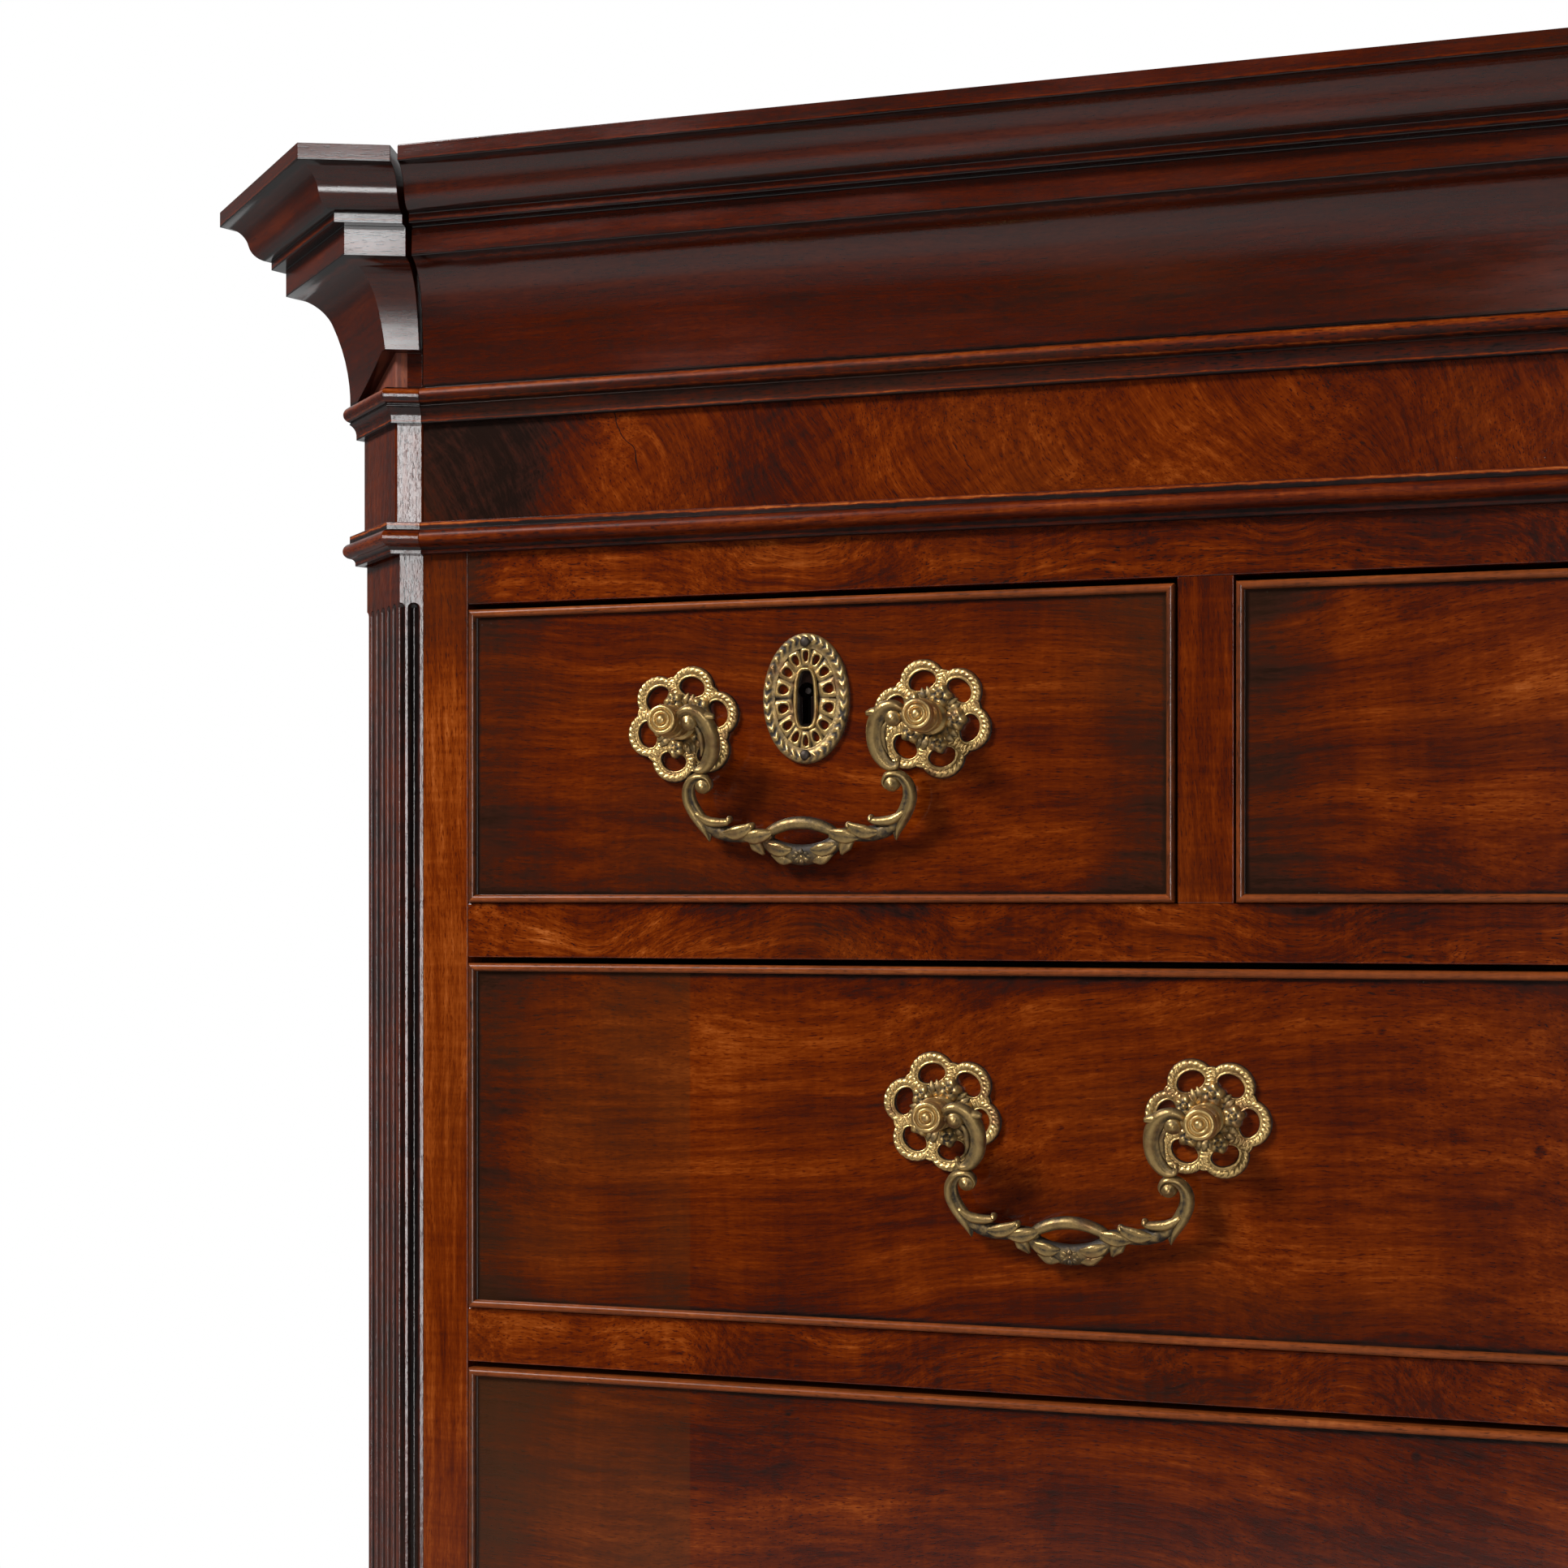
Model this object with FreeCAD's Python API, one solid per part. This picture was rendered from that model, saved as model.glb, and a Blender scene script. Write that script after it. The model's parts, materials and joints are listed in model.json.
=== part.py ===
"""Chest on chest in mahogany.

An upper case holds three short and three long drawers between canted, fluted corner posts, under a
frieze and a coved cornice. It stands inside the waist moulding of a lower case of three long
drawers on bracket feet. Every drawer has a cockbeaded front, lapped dovetails, a lock with an oval
escutcheon, and brass bail handles that swing on turned posts.

Frame: millimetres, +X to the right, +Y to the back, +Z up. The front faces -Y. The origin is on
the floor, in the middle of the object's footprint. Each named piece, or group of like pieces, is
written to parts/NAME.step.
"""

import FreeCAD
import Part
import math
import os
from collections import namedtuple
from FreeCAD import Vector

os.makedirs("parts", exist_ok=True)

# ---------------------------------------------------------------- driving dimensions

# Drawer openings of the upper case
short_opening = 288.0
centre_opening = 398.0
muntin_width = 21.0
upper_stile_width = 20.0
upper_opening_heights = [122.0, 143.0, 212.0, 232.0]  # from the top row down
lower_opening_heights = [200.0, 222.0, 246.0]  # from the top row down
rail_height = 22.0
rail_depth = 62.0
upper_bottom_rail = 34.0
lower_bottom_rail = 38.0

# Carcases
upper_depth = 490.0
case_step = 20.0  # how far the lower case stands out from the upper one, in front and at each side
side_thickness = 20.0
board_thickness = 22.0
upper_top_thickness = 18.0
back_thickness = 12.0
back_board_count = 4
lower_stile_depth = 30.0

# Canted corner posts: a 45 degree face between two narrow shoulders that rake forward
corner_inset = 34.3  # each post takes this much of the front and of the side
shoulder_width = 11.2
shoulder_rake = 22.5  # degrees
post_set_back = 1.6  # the post's canted face lies this far behind that of the frieze
flute_spaces = 6  # the canted face is this many flute pitches wide, with a flute on each arris
flute_width = 5.0
flute_depth = 2.0
shoulder_flute = 0.6  # share of the shoulder from its arris to its flute
flute_top_rise = 1.6  # the flutes run up this far past the top of the short drawers
flute_bottom_margin = 20.0  # plain post between the waist moulding and the flutes

# Mouldings
bead_moulding_height = 13.5
bead_moulding_lap = 1.0  # how far it reaches down over the top rail
frieze_height = 40.0
astragal_height = 14.3
cornice_height = 84.4
cornice_projection = 52.4
cornice_gap_head = 3.0  # the left mitre of the cornice has shrunk open by this much at its top
cornice_gap_foot = 1.3  # and by this much at its foot
cornice_chip_height = 15.0  # the broken lower tip of the left cornice corner
chip_start = 0.08  # share of the canted face that is left whole beside the broken tip
waist_height = 34.0
waist_overlap = 12.0  # how far the waist moulding reaches down over the lower case
waist_projection = 11.0
waist_top_edge = 6.0  # width of the flat at the top of the waist moulding
waist_clearance = 0.4  # round the upper case where it stands inside the waist moulding
base_moulding_height = 30.0
base_moulding_projection = 14.0

# Bracket feet
foot_height = 140.0
foot_length = 155.0
foot_toe = 62.0
foot_thickness = 22.0
foot_projection = 9.0
foot_block = 40.0
rear_bracket_length = 93.0  # of the plain board at the back of each rear foot
rear_bracket_lift = 28.0
foot_block_lift = 3.0  # the glue blocks stop this far above the floor

# Drawer joinery
drawer_gap_side = 0.8
drawer_gap_top = 2.4
drawer_gap_bottom = 0.3
front_thickness = 20.0
bead_width = 3.2
bead_depth = 12.0
bead_proud = 2.4
drawer_side_thickness = 9.0
drawer_back_thickness = 8.0
drawer_bottom_thickness = 6.0
drawer_bottom_groove = 4.0
drawer_bottom_height = 8.0  # underside of the bottom above the lower edge of the drawer's sides
drawer_box_clearance = 6.0  # the box is lower than the front by this much at its top
drawer_back_drop = 4.0  # of the back's top edge below the sides'
drawer_back_clearance = 30.0  # free space behind a closed drawer
lap = 5.0  # thickness of the front left in front of the dovetails
tail_pitch = 42.0
tail_root = 16.0
tail_flare = 3.0
tail_margin = 2.0

# Runners, guides and dust boards
runner_width = 26.0
guide_height = 14.0
guide_clearance = 0.7
dust_thickness = 7.0

# Brass handles
post_spacing = 101.2
short_pivot_rise = 10.0  # of the handle's pivots above the middle of the opening
long_pivot_rise = 13.5
pivot_stand_off = 22.5
pivot_radius = 2.0
pivot_clearance = 0.05
stud_neck_radius = 4.6
stud_collar_radius = 6.4
stud_drum_radius = 7.2
stud_head_radius = 6.2
stud_length = 29.0
stud_shank_radius = 2.5
stud_hole_clearance = 0.1
nut_radius = 6.5
nut_thickness = 4.0
rose_loops = 6
rose_radius = 23.0
rose_loop_radius = 8.0
rose_hole_radius = 4.4
rose_centre_radius = 12.0
rose_thickness = 3.0
rose_bore_clearance = 0.1
bail_eye_offset = 10.6  # from the stud's axis in to the middle of the bail's end
bail_thickness = 6.0
bail_drop = 57.0
bail_pin_gap = 1.2  # from the tip of the bail's pin to the stud's axis
bail_lean = 19.0  # degrees: at rest the bail leans in until its grip is close to the drawer
long_handle_share = 0.245  # handles of a long drawer stand at this share of its width

# Locks and escutcheons
escutcheon_width = 35.0
escutcheon_height = 51.0
escutcheon_thickness = 2.6
escutcheon_holes = 14
escutcheon_hole_radius = 1.5
escutcheon_hole_inset = 8.4  # of the ring of holes from the plate's edge
keyhole_drop = 42.0  # below the top of the drawer's opening
keyhole_radius = 3.2
keyhole_length = 13.0
keyhole_slot = 3.4
lock_width = 56.0
lock_rise = 30.0  # of the lock case's top edge above the keyhole
lock_fall = 20.0
lock_thickness = 12.0
lock_wall = 2.0
key_pin_radius = 1.3
tack_radius = 0.8
tack_end_wood = 2.0  # left between a tack's point and the lock case
tack_head_radius = 1.7
tack_inset = 3.4
tack_head_height = 0.7
tack_clearance = 0.05

# ---------------------------------------------------------------- places that follow from them

tack_depth = front_thickness - lock_thickness - tack_end_wood

half_front = upper_stile_width + short_opening + muntin_width + centre_opening / 2
side_x = half_front + corner_inset  # outer face of the upper case's sides
opening_x = half_front - upper_stile_width
lower_side_x = side_x + case_step
lower_opening_x = lower_side_x - rail_height

rake = math.radians(shoulder_rake)
cant_mitre = math.tan((math.pi / 4 + rake) / 2)  # of a shoulder's mitre with the canted face
arris_rise = shoulder_width * math.sin(rake)
cornice_overhang = arris_rise + cornice_projection * (
    math.cos(math.pi / 4) + cant_mitre * math.sin(math.pi / 4)
)
front_y = -(upper_depth - cornice_overhang) / 2
back_y = front_y + upper_depth
lower_front_y = front_y - case_step
inner_back_y = back_y - back_thickness


def stack(bottom, first_rail, heights, rail):
    """Floors of the openings from the lowest up, and the top of the stack's last opening."""
    floors, z = [], bottom + first_rail
    for height in reversed(heights):
        floors.append(z)
        z += height + rail
    return floors, z - rail


lower_floors, lower_top_opening = stack(
    foot_height, lower_bottom_rail, lower_opening_heights, rail_height
)
lower_top = lower_top_opening + board_thickness
upper_floors, upper_top_opening = stack(
    lower_top, upper_bottom_rail, upper_opening_heights, rail_height
)
bead_z = upper_top_opening + rail_height - bead_moulding_lap
frieze_z = bead_z + bead_moulding_height
astragal_z = frieze_z + frieze_height
cornice_z = astragal_z + astragal_height
overall_height = cornice_z + cornice_height

# ---------------------------------------------------------------- general helpers


def box(x0, x1, y0, y1, z0, z1):
    """Rectangular block between two corners."""
    return Part.makeBox(x1 - x0, y1 - y0, z1 - z0, Vector(x0, y0, z0))


def prism(points, z0, z1):
    """Upright prism on a plan polygon."""
    wire = Part.makePolygon([Vector(x, y, z0) for x, y in points + points[:1]])
    return Part.Face(wire).extrude(Vector(0, 0, z1 - z0))


def rod(start, direction, radius, length):
    """Round bar from a point along a direction."""
    return Part.makeCylinder(radius, length, Vector(*start), Vector(*direction))


def mirrored(shape):
    """The same piece on the other side of the middle plane."""
    return shape.mirror(Vector(0, 0, 0), Vector(1, 0, 0))


def both(shape):
    """A piece and its mirror image."""
    return [shape, mirrored(shape)]


def profile_face(start, moves, place):
    """Face with a closed outline; each move is an end point, or a (point on the arc, end) pair."""
    edges, here = [], start
    for move in moves:
        if isinstance(move[0], tuple):
            through, end = move
            edges.append(Part.Arc(place(here), place(through), place(end)).toShape())
        else:
            end = move
            edges.append(Part.LineSegment(place(here), place(end)).toShape())
        here = end
    if here != start:
        edges.append(Part.LineSegment(place(here), place(start)).toShape())
    return Part.Face(Part.Wire(edges))


def save(node, solids):
    """Writes one node, made of one solid or of several separate ones."""
    shape = solids[0] if len(solids) == 1 else Part.makeCompound(solids)
    shape.exportStep(f"parts/{node}.step")
    sizes = shape.BoundBox
    print(f"{node}: {len(solids)} solids, {sizes.XLength:.1f} x {sizes.YLength:.1f} x {sizes.ZLength:.1f}")


# ---------------------------------------------------------------- plan of the upper case


def corner_plan(set_back=0.0):
    """Left corner's plan, side to front: side, canted face's two arrises, front."""
    shoulder = shoulder_width - set_back / math.cos(math.pi / 4 - rake)
    front = (-half_front, front_y)
    run, rise = shoulder * math.cos(rake), shoulder * math.sin(rake)
    arris = (front[0] - run, front[1] - rise)
    across = front_y + side_x  # the corner is its own mirror image about this diagonal
    side = (front[1] - across, front[0] + across)
    far_arris = (arris[1] - across, arris[0] + across)
    return [side, far_arris, arris, front]


def case_path():
    """Plan of the upper case from its back left corner round the front to its back right."""
    left = [(-side_x, back_y)] + corner_plan()
    return left + [(-x, y) for x, y in reversed(left)]


def lower_path():
    """Plan of the lower case, in the same order."""
    return [
        (-lower_side_x, back_y),
        (-lower_side_x, lower_front_y),
        (lower_side_x, lower_front_y),
        (lower_side_x, back_y),
    ]


def outward(path, i):
    """Unit vectors along facet i and straight out of it."""
    (x0, y0), (x1, y1) = path[i], path[i + 1]
    length = math.hypot(x1 - x0, y1 - y0)
    along = Vector((x1 - x0) / length, (y1 - y0) / length, 0)
    return along, Vector(along.y, -along.x, 0)


def mitre(path, i):
    """How far corner i of an offset path moves for each unit of offset."""
    if i == 0:
        return outward(path, 0)[1]
    if i == len(path) - 1:
        return outward(path, i - 1)[1]
    n0, n1 = outward(path, i - 1)[1], outward(path, i)[1]
    return (n0 + n1) * (1 / (1 + n0.dot(n1)))


def moulding(path, i, moves, z, start=(0.0, 0.0), inner=0.0):
    """One mitred length of moulding along facet i; its profile is (outward, upward) from z."""
    along, out = outward(path, i)
    a, b = Vector(*path[i], 0), Vector(*path[i + 1], 0)
    reach = cornice_projection * 1.5
    base = a - along * reach * 2 + Vector(0, 0, z)
    face = profile_face(start, moves, lambda p: base + out * p[0] + Vector(0, 0, p[1]))
    strip = face.extrude(along * ((b - a).Length + reach * 4))
    corners = [
        a - mitre(path, i) * inner,
        a + mitre(path, i) * reach,
        b + mitre(path, i + 1) * reach,
        b - mitre(path, i + 1) * inner,
    ]
    return strip.common(prism([(c.x, c.y) for c in corners], z - 1, z + 2 * cornice_height)).Solids[0]


# ---------------------------------------------------------------- cornice and frieze

cornice_profile = [
    (5.0, 0.0),
    ((6.6, 18.0), (11.5, 35.0)),
    ((17.5, 43.0), (28.3, 47.5)),
    (28.3, 59.0),
    (33.6, 59.0),
    (33.6, 62.8),
    (35.5, 62.8),
    ((39.9, 65.5), (42.0, 69.6)),
    ((44.6, 74.6), (cornice_projection - 1.0, 78.0)),
    (cornice_projection, 78.0),
    (cornice_projection, cornice_height),
    (0.0, cornice_height),
]
astragal_profile = [
    (2.8, 0.0),
    (2.8, 1.6),
    ((3.5, 4.6), (5.4, 6.7)),
    (4.9, 7.5),
    ((7.6, 10.8), (5.0, astragal_height)),
    (0.0, astragal_height),
]
bead_profile = [
    (3.2, 0.0),
    (3.2, 1.2),
    ((3.8, 2.5), (5.0, 3.2)),
    ((7.8, 6.4), (5.2, 9.6)),
    (5.2, 12.7),
    (0.0, bead_moulding_height),
]


def cornice():
    """Front length, and for each end a mitred corner block of three facets and a side return."""
    path = case_path()
    runs = [moulding(path, i, cornice_profile, cornice_z) for i in range(len(path) - 1)]
    left_block = runs[1].fuse(runs[2:4]).removeSplitter()
    right_block = mirrored(left_block)
    save("cornice_front", [runs[4].cut(shrinkage(path)).Solids[0]])
    save("cornice_left", [left_block.cut(chip(path)).Solids[0], runs[0]])
    save("cornice_right", [right_block, runs[8]])


def shrinkage(path):
    """Wedge of air in the left mitre of the front cornice, wider at its top."""
    foot = Vector(*path[4], cornice_z)
    head = Vector(*path[4], overall_height)
    corners = [foot, foot + Vector(cornice_gap_foot, 0, 0), head + Vector(cornice_gap_head, 0, 0), head]
    return Part.Face(Part.makePolygon(corners + corners[:1])).extrude(mitre(path, 4) * cornice_projection * 2)


def chip(path):
    """What broke off the foot of the left corner block: level across the shoulder, then raking
    down to nothing across the canted face."""
    below = cornice_z - 1
    far_arris, arris, corner = [Vector(*path[i], below) for i in (2, 3, 4)]
    rise = Vector(0, 0, cornice_chip_height + 1)
    along, out = outward(path, 2)
    tip = far_arris + (arris - far_arris) * chip_start
    past = arris + along * shoulder_width / 2
    raking = [tip, past, past + rise, arris + rise]
    raking = Part.Face(Part.makePolygon([p - out for p in raking + raking[:1]]))
    raking = raking.extrude(out * cornice_projection)
    far = outward(path, 3)[1] * cornice_projection
    past_joint = Vector(shoulder_width / 2, 0, 0)
    level = [arris - along, arris + mitre(path, 3) * cornice_projection, corner + far + past_joint]
    level += [corner + past_joint]
    level = prism([(p.x, p.y) for p in level], below, below + rise.z)
    return raking.fuse(level)


def frieze():
    """Frieze front between two corner blocks; it runs up behind the cornice as its ground."""
    top = overall_height - upper_top_thickness
    bottom = upper_top_opening + rail_height
    front = box(-half_front, half_front, front_y, front_y + corner_inset, bottom, top)
    block = prism(corner_plan() + [(-half_front, front_y + corner_inset)], bottom, top)
    save("frieze", [front] + both(block))
    path = case_path()
    facets = range(len(path) - 1)
    astragal = [moulding(path, i, astragal_profile, astragal_z) for i in facets]
    bead = [moulding(path, i, bead_profile, bead_z) for i in facets]
    save("frieze_mouldings", astragal + bead)


# ---------------------------------------------------------------- carcases


def flute_lines(plan):
    """Plan point and outward direction of each flute: across the canted face with one on either
    arris, and one on each shoulder."""
    normals = [outward(plan, i)[1] for i in range(3)]
    side, far_arris, arris, front = [Vector(x, y, 0) for x, y in plan[:4]]
    lines = [
        (far_arris + (side - far_arris) * shoulder_flute, normals[0]),
        (arris + (front - arris) * shoulder_flute, normals[2]),
        (far_arris, (normals[0] + normals[1]).normalize()),
        (arris, (normals[1] + normals[2]).normalize()),
    ]
    for i in range(1, flute_spaces):
        lines.append((far_arris + (arris - far_arris) * (i / flute_spaces), normals[1]))
    return lines


def fluted_post():
    """Left corner post with round-ended flutes."""
    plan = corner_plan(post_set_back) + [(-half_front, front_y + corner_inset)]
    post = prism(plan, lower_top, upper_top_opening + rail_height)
    radius = (flute_depth**2 + (flute_width / 2) ** 2) / (2 * flute_depth)
    low = lower_top + waist_height + flute_bottom_margin + radius
    high = upper_top_opening + flute_top_rise - radius
    for place, out in flute_lines(plan):
        axis = place + out * (radius - flute_depth)
        groove = rod((axis.x, axis.y, low), (0, 0, 1), radius, high - low)
        ends = [Part.makeSphere(radius, Vector(axis.x, axis.y, z)) for z in (low, high)]
        post = post.cut(groove.fuse(ends))
    return post.Solids[0]


def upper_case():
    """Sides, top, bottom, and the front frame of stiles, rails and muntins."""
    side = box(-side_x, -side_x + side_thickness, front_y + corner_inset, back_y, lower_top,
               overall_height - upper_top_thickness)
    save("upper_sides", both(side))
    inner_x = side_x - side_thickness
    top_plan = case_path()
    top = prism(top_plan, overall_height - upper_top_thickness, overall_height)
    floor = upper_floors[0]
    bottom = box(-inner_x, inner_x, front_y + rail_depth, inner_back_y, floor - board_thickness, floor)
    save("upper_top_and_bottom", [top, bottom])

    stile = box(-half_front, -opening_x, front_y, front_y + corner_inset, lower_top,
                upper_top_opening + rail_height)
    rails = [box(-opening_x, opening_x, front_y, front_y + rail_depth, lower_top, floor)]
    for level, height in zip(upper_floors, reversed(upper_opening_heights)):
        z = level + height
        rails.append(box(-opening_x, opening_x, front_y, front_y + rail_depth, z, z + rail_height))
    muntin_x = centre_opening / 2
    muntin = box(muntin_x, muntin_x + muntin_width, front_y, front_y + rail_depth,
                 upper_floors[-1], upper_top_opening)
    save("upper_face_frame", both(stile) + rails + both(muntin))


def lower_case():
    """Sides, top, bottom, and the front frame."""
    side = box(-lower_side_x, -lower_side_x + side_thickness, lower_front_y + lower_stile_depth,
               back_y, foot_height, lower_top_opening)
    save("lower_sides", both(side))
    inner_x = lower_side_x - side_thickness
    top = box(-lower_side_x, lower_side_x, lower_front_y, back_y, lower_top_opening, lower_top)
    floor = lower_floors[0]
    bottom = box(-inner_x, inner_x, lower_front_y + rail_depth, inner_back_y,
                 floor - board_thickness, floor)
    save("lower_top_and_bottom", [top, bottom])

    stile = box(-lower_side_x, -lower_opening_x, lower_front_y, lower_front_y + lower_stile_depth,
                foot_height, lower_top_opening)
    rails = [box(-lower_opening_x, lower_opening_x, lower_front_y, lower_front_y + rail_depth,
                 foot_height, floor)]
    for level, height in list(zip(lower_floors, reversed(lower_opening_heights)))[:-1]:
        z = level + height
        rails.append(box(-lower_opening_x, lower_opening_x, lower_front_y,
                         lower_front_y + rail_depth, z, z + rail_height))
    save("lower_face_frame", both(stile) + rails)


def back_boards():
    """Upright boards, butted edge to edge between the sides of each case."""
    boards = []
    for half_width, z0, z1 in (
        (side_x - side_thickness, lower_top, overall_height - upper_top_thickness),
        (lower_side_x - side_thickness, foot_height, lower_top_opening),
    ):
        width = 2 * half_width / back_board_count
        for i in range(back_board_count):
            x = -half_width + i * width
            boards.append(box(x, x + width, inner_back_y, back_y, z0, z1))
    save("back_boards", boards)


def runners():
    """Each level has runners, with a dust board between them, and guides beside the drawers."""
    cases = (
        (opening_x, side_x - side_thickness, front_y, upper_floors, [upper_top_opening + rail_height]),
        (lower_opening_x, lower_side_x - side_thickness, lower_front_y, lower_floors, []),
    )
    pieces = []
    for open_x, inner_x, case_front, floors, kickers in cases:
        y0 = case_front + rail_depth
        inner = open_x - runner_width
        dust = (rail_height - dust_thickness) / 2
        for level in floors[1:] + kickers:
            pieces += both(box(-inner_x, -inner, y0, inner_back_y, level - rail_height, level))
            pieces.append(box(-inner, inner, y0, inner_back_y, level - rail_height + dust, level - dust))
        for level in floors:
            guide_x = open_x + guide_clearance
            pieces += both(box(-inner_x, -guide_x, y0, inner_back_y, level, level + guide_height))
    save("drawer_runners", pieces + both(middle_runner()) + both(middle_guide()))


def middle_runner():
    """Runner behind a muntin, under the ends of two short drawers; it lies on the dust board."""
    level, x = upper_floors[-1], (centre_opening + muntin_width) / 2
    bottom = level - (rail_height - dust_thickness) / 2
    return box(x - runner_width, x + runner_width, front_y + rail_depth, inner_back_y, bottom, level)


def middle_guide():
    """Guide on the middle runner, in line with the muntin."""
    level, x = upper_floors[-1], (centre_opening + muntin_width) / 2
    half = muntin_width / 2 - guide_clearance
    return box(x - half, x + half, front_y + rail_depth, inner_back_y, level, level + guide_height)


def waist_and_base():
    """Waist moulding, planted on the lower case round the foot of the upper one, and base moulding."""
    path = lower_path()
    z = lower_top - waist_overlap
    top_edge = waist_top_edge - case_step
    waist = [
        (6.0, 0.0),
        (6.0, 2.4),
        ((9.6, 4.0), (waist_projection, 7.6)),
        (waist_projection, 13.0),
        (waist_projection - 3.0, 13.0),
        ((waist_projection - 6.0, waist_height - 12.0), (top_edge, waist_height - 3.0)),
        (top_edge, waist_height),
        (-case_step - corner_inset, waist_height),
        (-case_step - corner_inset, waist_overlap),
        (0.0, waist_overlap),
    ]
    well = [(x * (1 + waist_clearance / side_x), y - waist_clearance) for x, y in case_path()[1:-1]]
    well = [(well[0][0], back_y + 1)] + well + [(well[-1][0], back_y + 1)]
    well = prism(well, lower_top, lower_top + waist_height)
    depth = case_step + corner_inset + 1
    waist = [moulding(path, i, waist, z, inner=depth).cut(well).Solids[0] for i in range(3)]
    save("waist_moulding", waist)

    base = [
        (base_moulding_projection, 0.0),
        (base_moulding_projection, 9.0),
        (base_moulding_projection - 2.5, 9.0),
        ((base_moulding_projection - 5.0, 18.0), (3.5, base_moulding_height - 6.0)),
        ((2.4, base_moulding_height - 3.0), (0.0, base_moulding_height)),
    ]
    save("base_moulding", [moulding(path, i, base, foot_height) for i in range(3)])


def bracket_feet():
    """Four feet, each of two bracket boards and a glue block; the front pair are mitred."""
    outer_x, outer_y = -lower_side_x - foot_projection, lower_front_y - foot_projection
    inner_x, inner_y = outer_x + foot_thickness, outer_y + foot_thickness
    bracket = [
        (foot_toe, 0.0),
        ((foot_toe + 2.0, foot_height * 0.24), (foot_toe + 20.0, foot_height * 0.44)),
        ((foot_toe + 40.0, foot_height * 0.57), (foot_toe + 52.0, foot_height * 0.72)),
        ((foot_toe + 68.0, foot_height * 0.87), (foot_length, foot_height * 0.89)),
        (foot_length, foot_height),
        (0.0, foot_height),
    ]
    front = profile_face((0.0, 0.0), bracket, lambda p: Vector(outer_x + p[0], outer_y, p[1]))
    side = profile_face((0.0, 0.0), bracket, lambda p: Vector(outer_x, outer_y + p[0], p[1]))
    rear = profile_face((0.0, 0.0), bracket, lambda p: Vector(outer_x, back_y - p[0], p[1]))
    far_x, far_y = outer_x + 2 * foot_length, outer_y + 2 * foot_length
    front_of_mitre = prism([(outer_x, outer_y), (far_x, outer_y), (far_x, far_y)], 0, foot_height)
    side_of_mitre = prism([(outer_x, outer_y), (far_x, far_y), (outer_x, far_y)], 0, foot_height)
    rear_y = back_y - foot_thickness
    pieces = [
        front.extrude(Vector(0, foot_thickness, 0)).common(front_of_mitre),
        side.extrude(Vector(foot_thickness, 0, 0)).common(side_of_mitre),
        rear.extrude(Vector(foot_thickness, 0, 0)),
        box(inner_x, inner_x + rear_bracket_length, rear_y, back_y, rear_bracket_lift, foot_height),
        box(inner_x, inner_x + foot_block, inner_y, inner_y + foot_block, foot_block_lift, foot_height),
        box(inner_x, inner_x + foot_block, rear_y - foot_block, rear_y, foot_block_lift, foot_height),
    ]
    save("bracket_feet", [solid for piece in pieces for solid in both(piece.Solids[0])])


# ---------------------------------------------------------------- brass


def stud():
    """Turned handle post on the Y axis, from the drawer's face at y = 0 out to -Y."""
    drum_back = pivot_stand_off - pivot_radius - 3.5
    turned = [
        (stud_collar_radius, 0.0),
        (stud_collar_radius, rose_thickness + 2.0),
        ((stud_neck_radius, rose_thickness + 3.5), (stud_neck_radius, drum_back - 3.0)),
        ((stud_neck_radius + 0.8, drum_back - 0.8), (stud_drum_radius, drum_back)),
        (stud_drum_radius, pivot_stand_off + pivot_radius + 1.0),
        (stud_head_radius, pivot_stand_off + pivot_radius + 1.4),
        (stud_head_radius, stud_length - 1.4),
        ((stud_head_radius * 0.8, stud_length - 0.6), (stud_head_radius * 0.4, stud_length)),
        (0.0, stud_length),
    ]
    face = profile_face((0.0, 0.0), turned, lambda p: Vector(p[0], -p[1], 0))
    post = face.revolve(Vector(0, 0, 0), Vector(0, 1, 0), 360)
    shank = rod((0, 0, 0), (0, 1, 0), stud_shank_radius, front_thickness + nut_thickness + 1.5)
    return post.fuse(shank).removeSplitter()


def socket(direction):
    """Blind hole in a stud for the bail's pin, opening towards the middle of the handle."""
    hole = pivot_radius + pivot_clearance
    return rod((0, -pivot_stand_off, 0), (direction, 0, 0), hole, stud_drum_radius + 1)


def rose():
    """Pierced rose: a ring of round loops about a thick middle, bored for its stud."""
    out = (0, -1, 0)
    plate = rod((0, 0, 0), out, rose_centre_radius, rose_thickness)
    ring = rose_radius - rose_loop_radius
    holes = [rod((0, 0, 0), out, stud_collar_radius + rose_bore_clearance, rose_thickness)]
    for i in range(rose_loops):
        turn = 2 * math.pi * (i + 0.5) / rose_loops
        centre = (ring * math.cos(turn), 0, ring * math.sin(turn))
        plate = plate.fuse(rod(centre, out, rose_loop_radius, rose_thickness))
        holes.append(rod(centre, out, rose_hole_radius, rose_thickness))
    return plate.cut(holes).removeSplitter()


def nut():
    """Round nut on the stud's shank, behind the drawer's front."""
    body = rod((0, front_thickness, 0), (0, 1, 0), nut_radius, nut_thickness)
    return body.cut(rod((0, front_thickness, 0), (0, 1, 0), stud_shank_radius, nut_thickness))


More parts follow.
